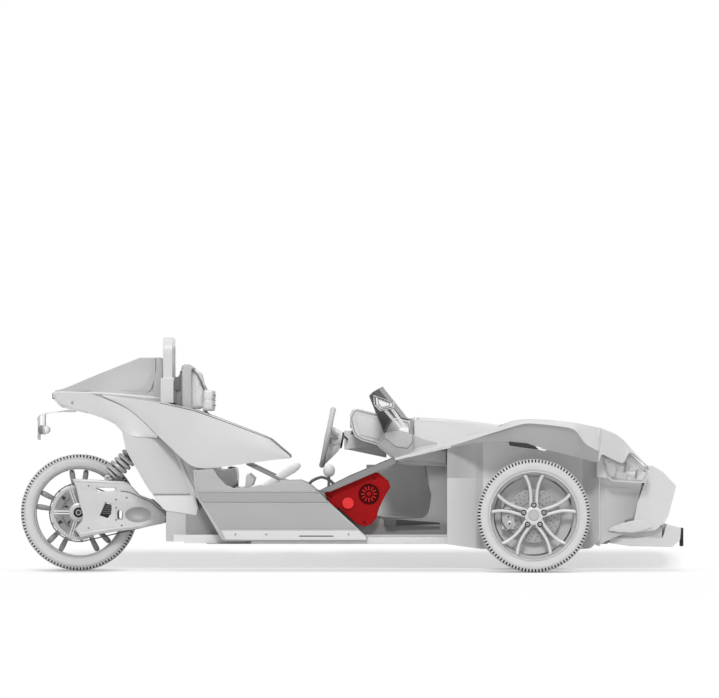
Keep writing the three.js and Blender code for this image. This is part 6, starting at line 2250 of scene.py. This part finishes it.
# Blank number plate in its frame, lamps and wiring of the tail bracket
def plateDetail():
    parts = Parts([painted(box("plateBlank", (-243, -88, 778), (-239, 88, 906), 1.5), "liner")])
    rim = [at(-241, y, z) for y, z in ((-92, 774), (92, 774), (92, 910), (-92, 910), (-92, 774))]
    parts.add("trim", rod("plateRim", rim, 2, 8))
    for y in (-60, 60):
        for z in (790, 894):
            spot = at(-243, y, z)
            parts.add("bolt", disk("plateScrew", spot, spot - Vector((0.004, 0, 0)),
                [(0, 5.5), (0.7, 5.5), (1, 4)], 12))
    for y in (-120, 120):
        start, end = at(-196, y, 830), at(-240, y, 830)
        parts.add("smoked", disk("lampLens", start, end, [(0, 20), (0.5, 27), (0.8, 25), (1, 14)], 32))
        parts.add("trim", disk("lampRing", at(-200, y, 830), at(-212, y, 830), [(0, 27.5), (1, 28.5)], 32))
        parts.add("trim", rod("wire", [at(-232, y, 808), at(-236, y, 790), at(-234, y, 770)], 2, 6, True))
    return merged("plateDetail", parts)


fit(plateDetail(), "chassis", "plastic")
cell = box("tailCell", (-158, -100, 1020), (-154.5, -84, 1044), 1.5)
fit(inRow(cell, 11, (0, 18.4, 0), "smoked"), "chassis", "lamps")
fit(painted(box("tailBezel", (-156, -112, 1011), (-149, 112, 1016), 2), "black"), "chassis", "lamps")

# Grille mesh behind the bars, with the radiator's fins
for lean in (-1, 1):
    wire = rod("grilleWire", [front(640, -440 - 75 * lean, 290), front(640, -440 + 75 * lean, 576)], 1.6, 6)
    piece = inRow(wire, 38, (0, 24, 0), "mesh")
    for vertex in piece.data.vertices:
        vertex.co.y = max(-0.466, min(0.466, vertex.co.y))
    piece.name = f"grilleMesh{'Left' if lean < 0 else 'Right'}"
    fit(tidied(piece), "chassis", "dark")
radiator = merged("radiator", [
    painted(box("core", (wheelbase + 470, -340, 300), (wheelbase + 500, 340, 560), 3), "black"),
    inRow(box("fin", (wheelbase + 501, -335, 304), (wheelbase + 505, -333.5, 556)), 56, (0, 12, 0), "bolt"),
    painted(box("tankLeft", (wheelbase + 462, 338, 294), (wheelbase + 508, 372, 566), 8), "dark"),
    painted(box("tankRight", (wheelbase + 462, -372, 294), (wheelbase + 508, -338, 566), 8), "dark"),
    painted(box("mount", (wheelbase + 440, -300, 217), (wheelbase + 470, -260, 310), 3), "dark"),
    painted(box("mount", (wheelbase + 440, 260, 217), (wheelbase + 470, 300, 310), 3), "dark"),
])
fit(radiator, "chassis", "metal")


# Engine dress: rocker cover with ribs, runners, filler cap, belt end and hoses
def engineDress():
    x0 = wheelbase - 387
    parts = Parts([painted(box("cover", (x0 + 40, -120, 735), (x0 + 500, 120, 772), 14), "cast")])
    parts.append(inRow(box("coverRib", (x0 + 70, -104, 770), (x0 + 82, 104, 778), 3), 14, (30, 0, 0),
        "forged"))
    for i in range(4):
        x = x0 + 95 + 115 * i
        path = [at(x, 110, 748), at(x, 190, 770), at(x, 246, 730), at(x, 262, 660)]
        parts.add("dark", rod("runner", path, 21, 20, True))
    parts.add("dark", disk("plenum", at(x0 + 60, 262, 650), at(x0 + 480, 262, 650),
        [(0, 20), (0.03, 34), (0.97, 34), (1, 20)]))
    parts.add("black", disk("filler", at(x0 + 430, -60, 770), at(x0 + 430, -60, 800),
        [(0, 26), (0.3, 30), (0.9, 30), (1, 24)], 20))
    for x in (0, 1):
        parts.add("bolt", rod("pipe", [at(x0 + 130 + 240 * x, -216, 640), at(x0 + 130 + 240 * x, -262, 600),
            at(x0 + 140 + 240 * x, -268, 420)], 19, 16, True))
    for y, z, radius in ((0, 400, 70), (-110, 560, 42), (105, 545, 48), (20, 650, 38)):
        start = front(152, y, z)
        parts.add("forged", disk("pulley", start, start + Vector((0.034, 0, 0)),
            [(0, radius * 0.5), (0.3, radius), (0.85, radius), (1, radius * 0.4)]))
    belt = [front(172, y, z) for y, z in ((72, 400), (155, 545), (58, 652), (-18, 652), (-153, 566),
        (-72, 392), (0, 328), (72, 400))]
    parts.add("black", rod("ribBelt", belt, 5, 8))
    hose = [front(150, 120, 690), front(260, 180, 690), front(400, 250, 600), front(464, 300, 540)]
    parts.add("black", rod("hoseTop", hose, 18, 16, True))
    low = [front(150, -120, 360), front(280, -150, 330), front(464, -300, 330)]
    parts.add("black", rod("hoseLow", low, 18, 16, True))
    return merged("engineDress", parts)


fit(engineDress(), "chassis", "metal")
battery = merged("battery", [
    painted(box("case", (wheelbase + 205, -190, 222), (wheelbase + 375, 60, 400), 6), "black"),
    painted(box("lid", (wheelbase + 203, -192, 396), (wheelbase + 377, 62, 414), 4), "dark"),
    painted(disk("postA", front(230, -160, 414), front(230, -160, 428), [(0, 9), (1, 8)], 16), "bolt"),
    painted(disk("postB", front(230, 30, 414), front(230, 30, 428), [(0, 9), (1, 8)], 16), "bolt"),
    painted(box("tray", (wheelbase + 195, -200, 213), (wheelbase + 385, 70, 223), 3), "cast"),
])
fit(battery, "chassis", "plastic")

# Winglet on the side of the nose
wingletOutline = [
    (438, 240), (450, 258), (476, 272), (520, 285), (600, 304), (660, 300), (700, 262), (640, 240),
    (590, 229), (500, 231),
]
pairedPlate("winglet", fromFront(wingletOutline), 638, 654, 6, "body", "body", 3)


# Splitter: stiffening lip and stays
def splitterDetail(side):
    parts = Parts([painted(rod("lip", [front(x, 601, z)
        for x, z in ((450, 200), (560, 196), (756, 196), (800, 262))], 3, 8), "deck")])
    parts.add("deck", plate("web", [(wheelbase + 452, 206), (wheelbase + 470, 262), (wheelbase + 500, 262),
        (wheelbase + 486, 206)], 560, 590, edge=3))
    parts.add("body", plate("web", [(wheelbase + 612, 198), (wheelbase + 606, 250), (wheelbase + 640, 250),
        (wheelbase + 640, 198)], 560, 590, edge=3))
    # plate across the recess between the stays, in the darker hood paint: painted shade of the recess
    parts.add("hood", box("shade", (wheelbase + 458, 584, 200), (wheelbase + 756, 594, 262), 3))
    return merged(f"splitterDetail_{side}", parts)


fitBoth(both(splitterDetail), "body")
print("ends made")

print("finished")
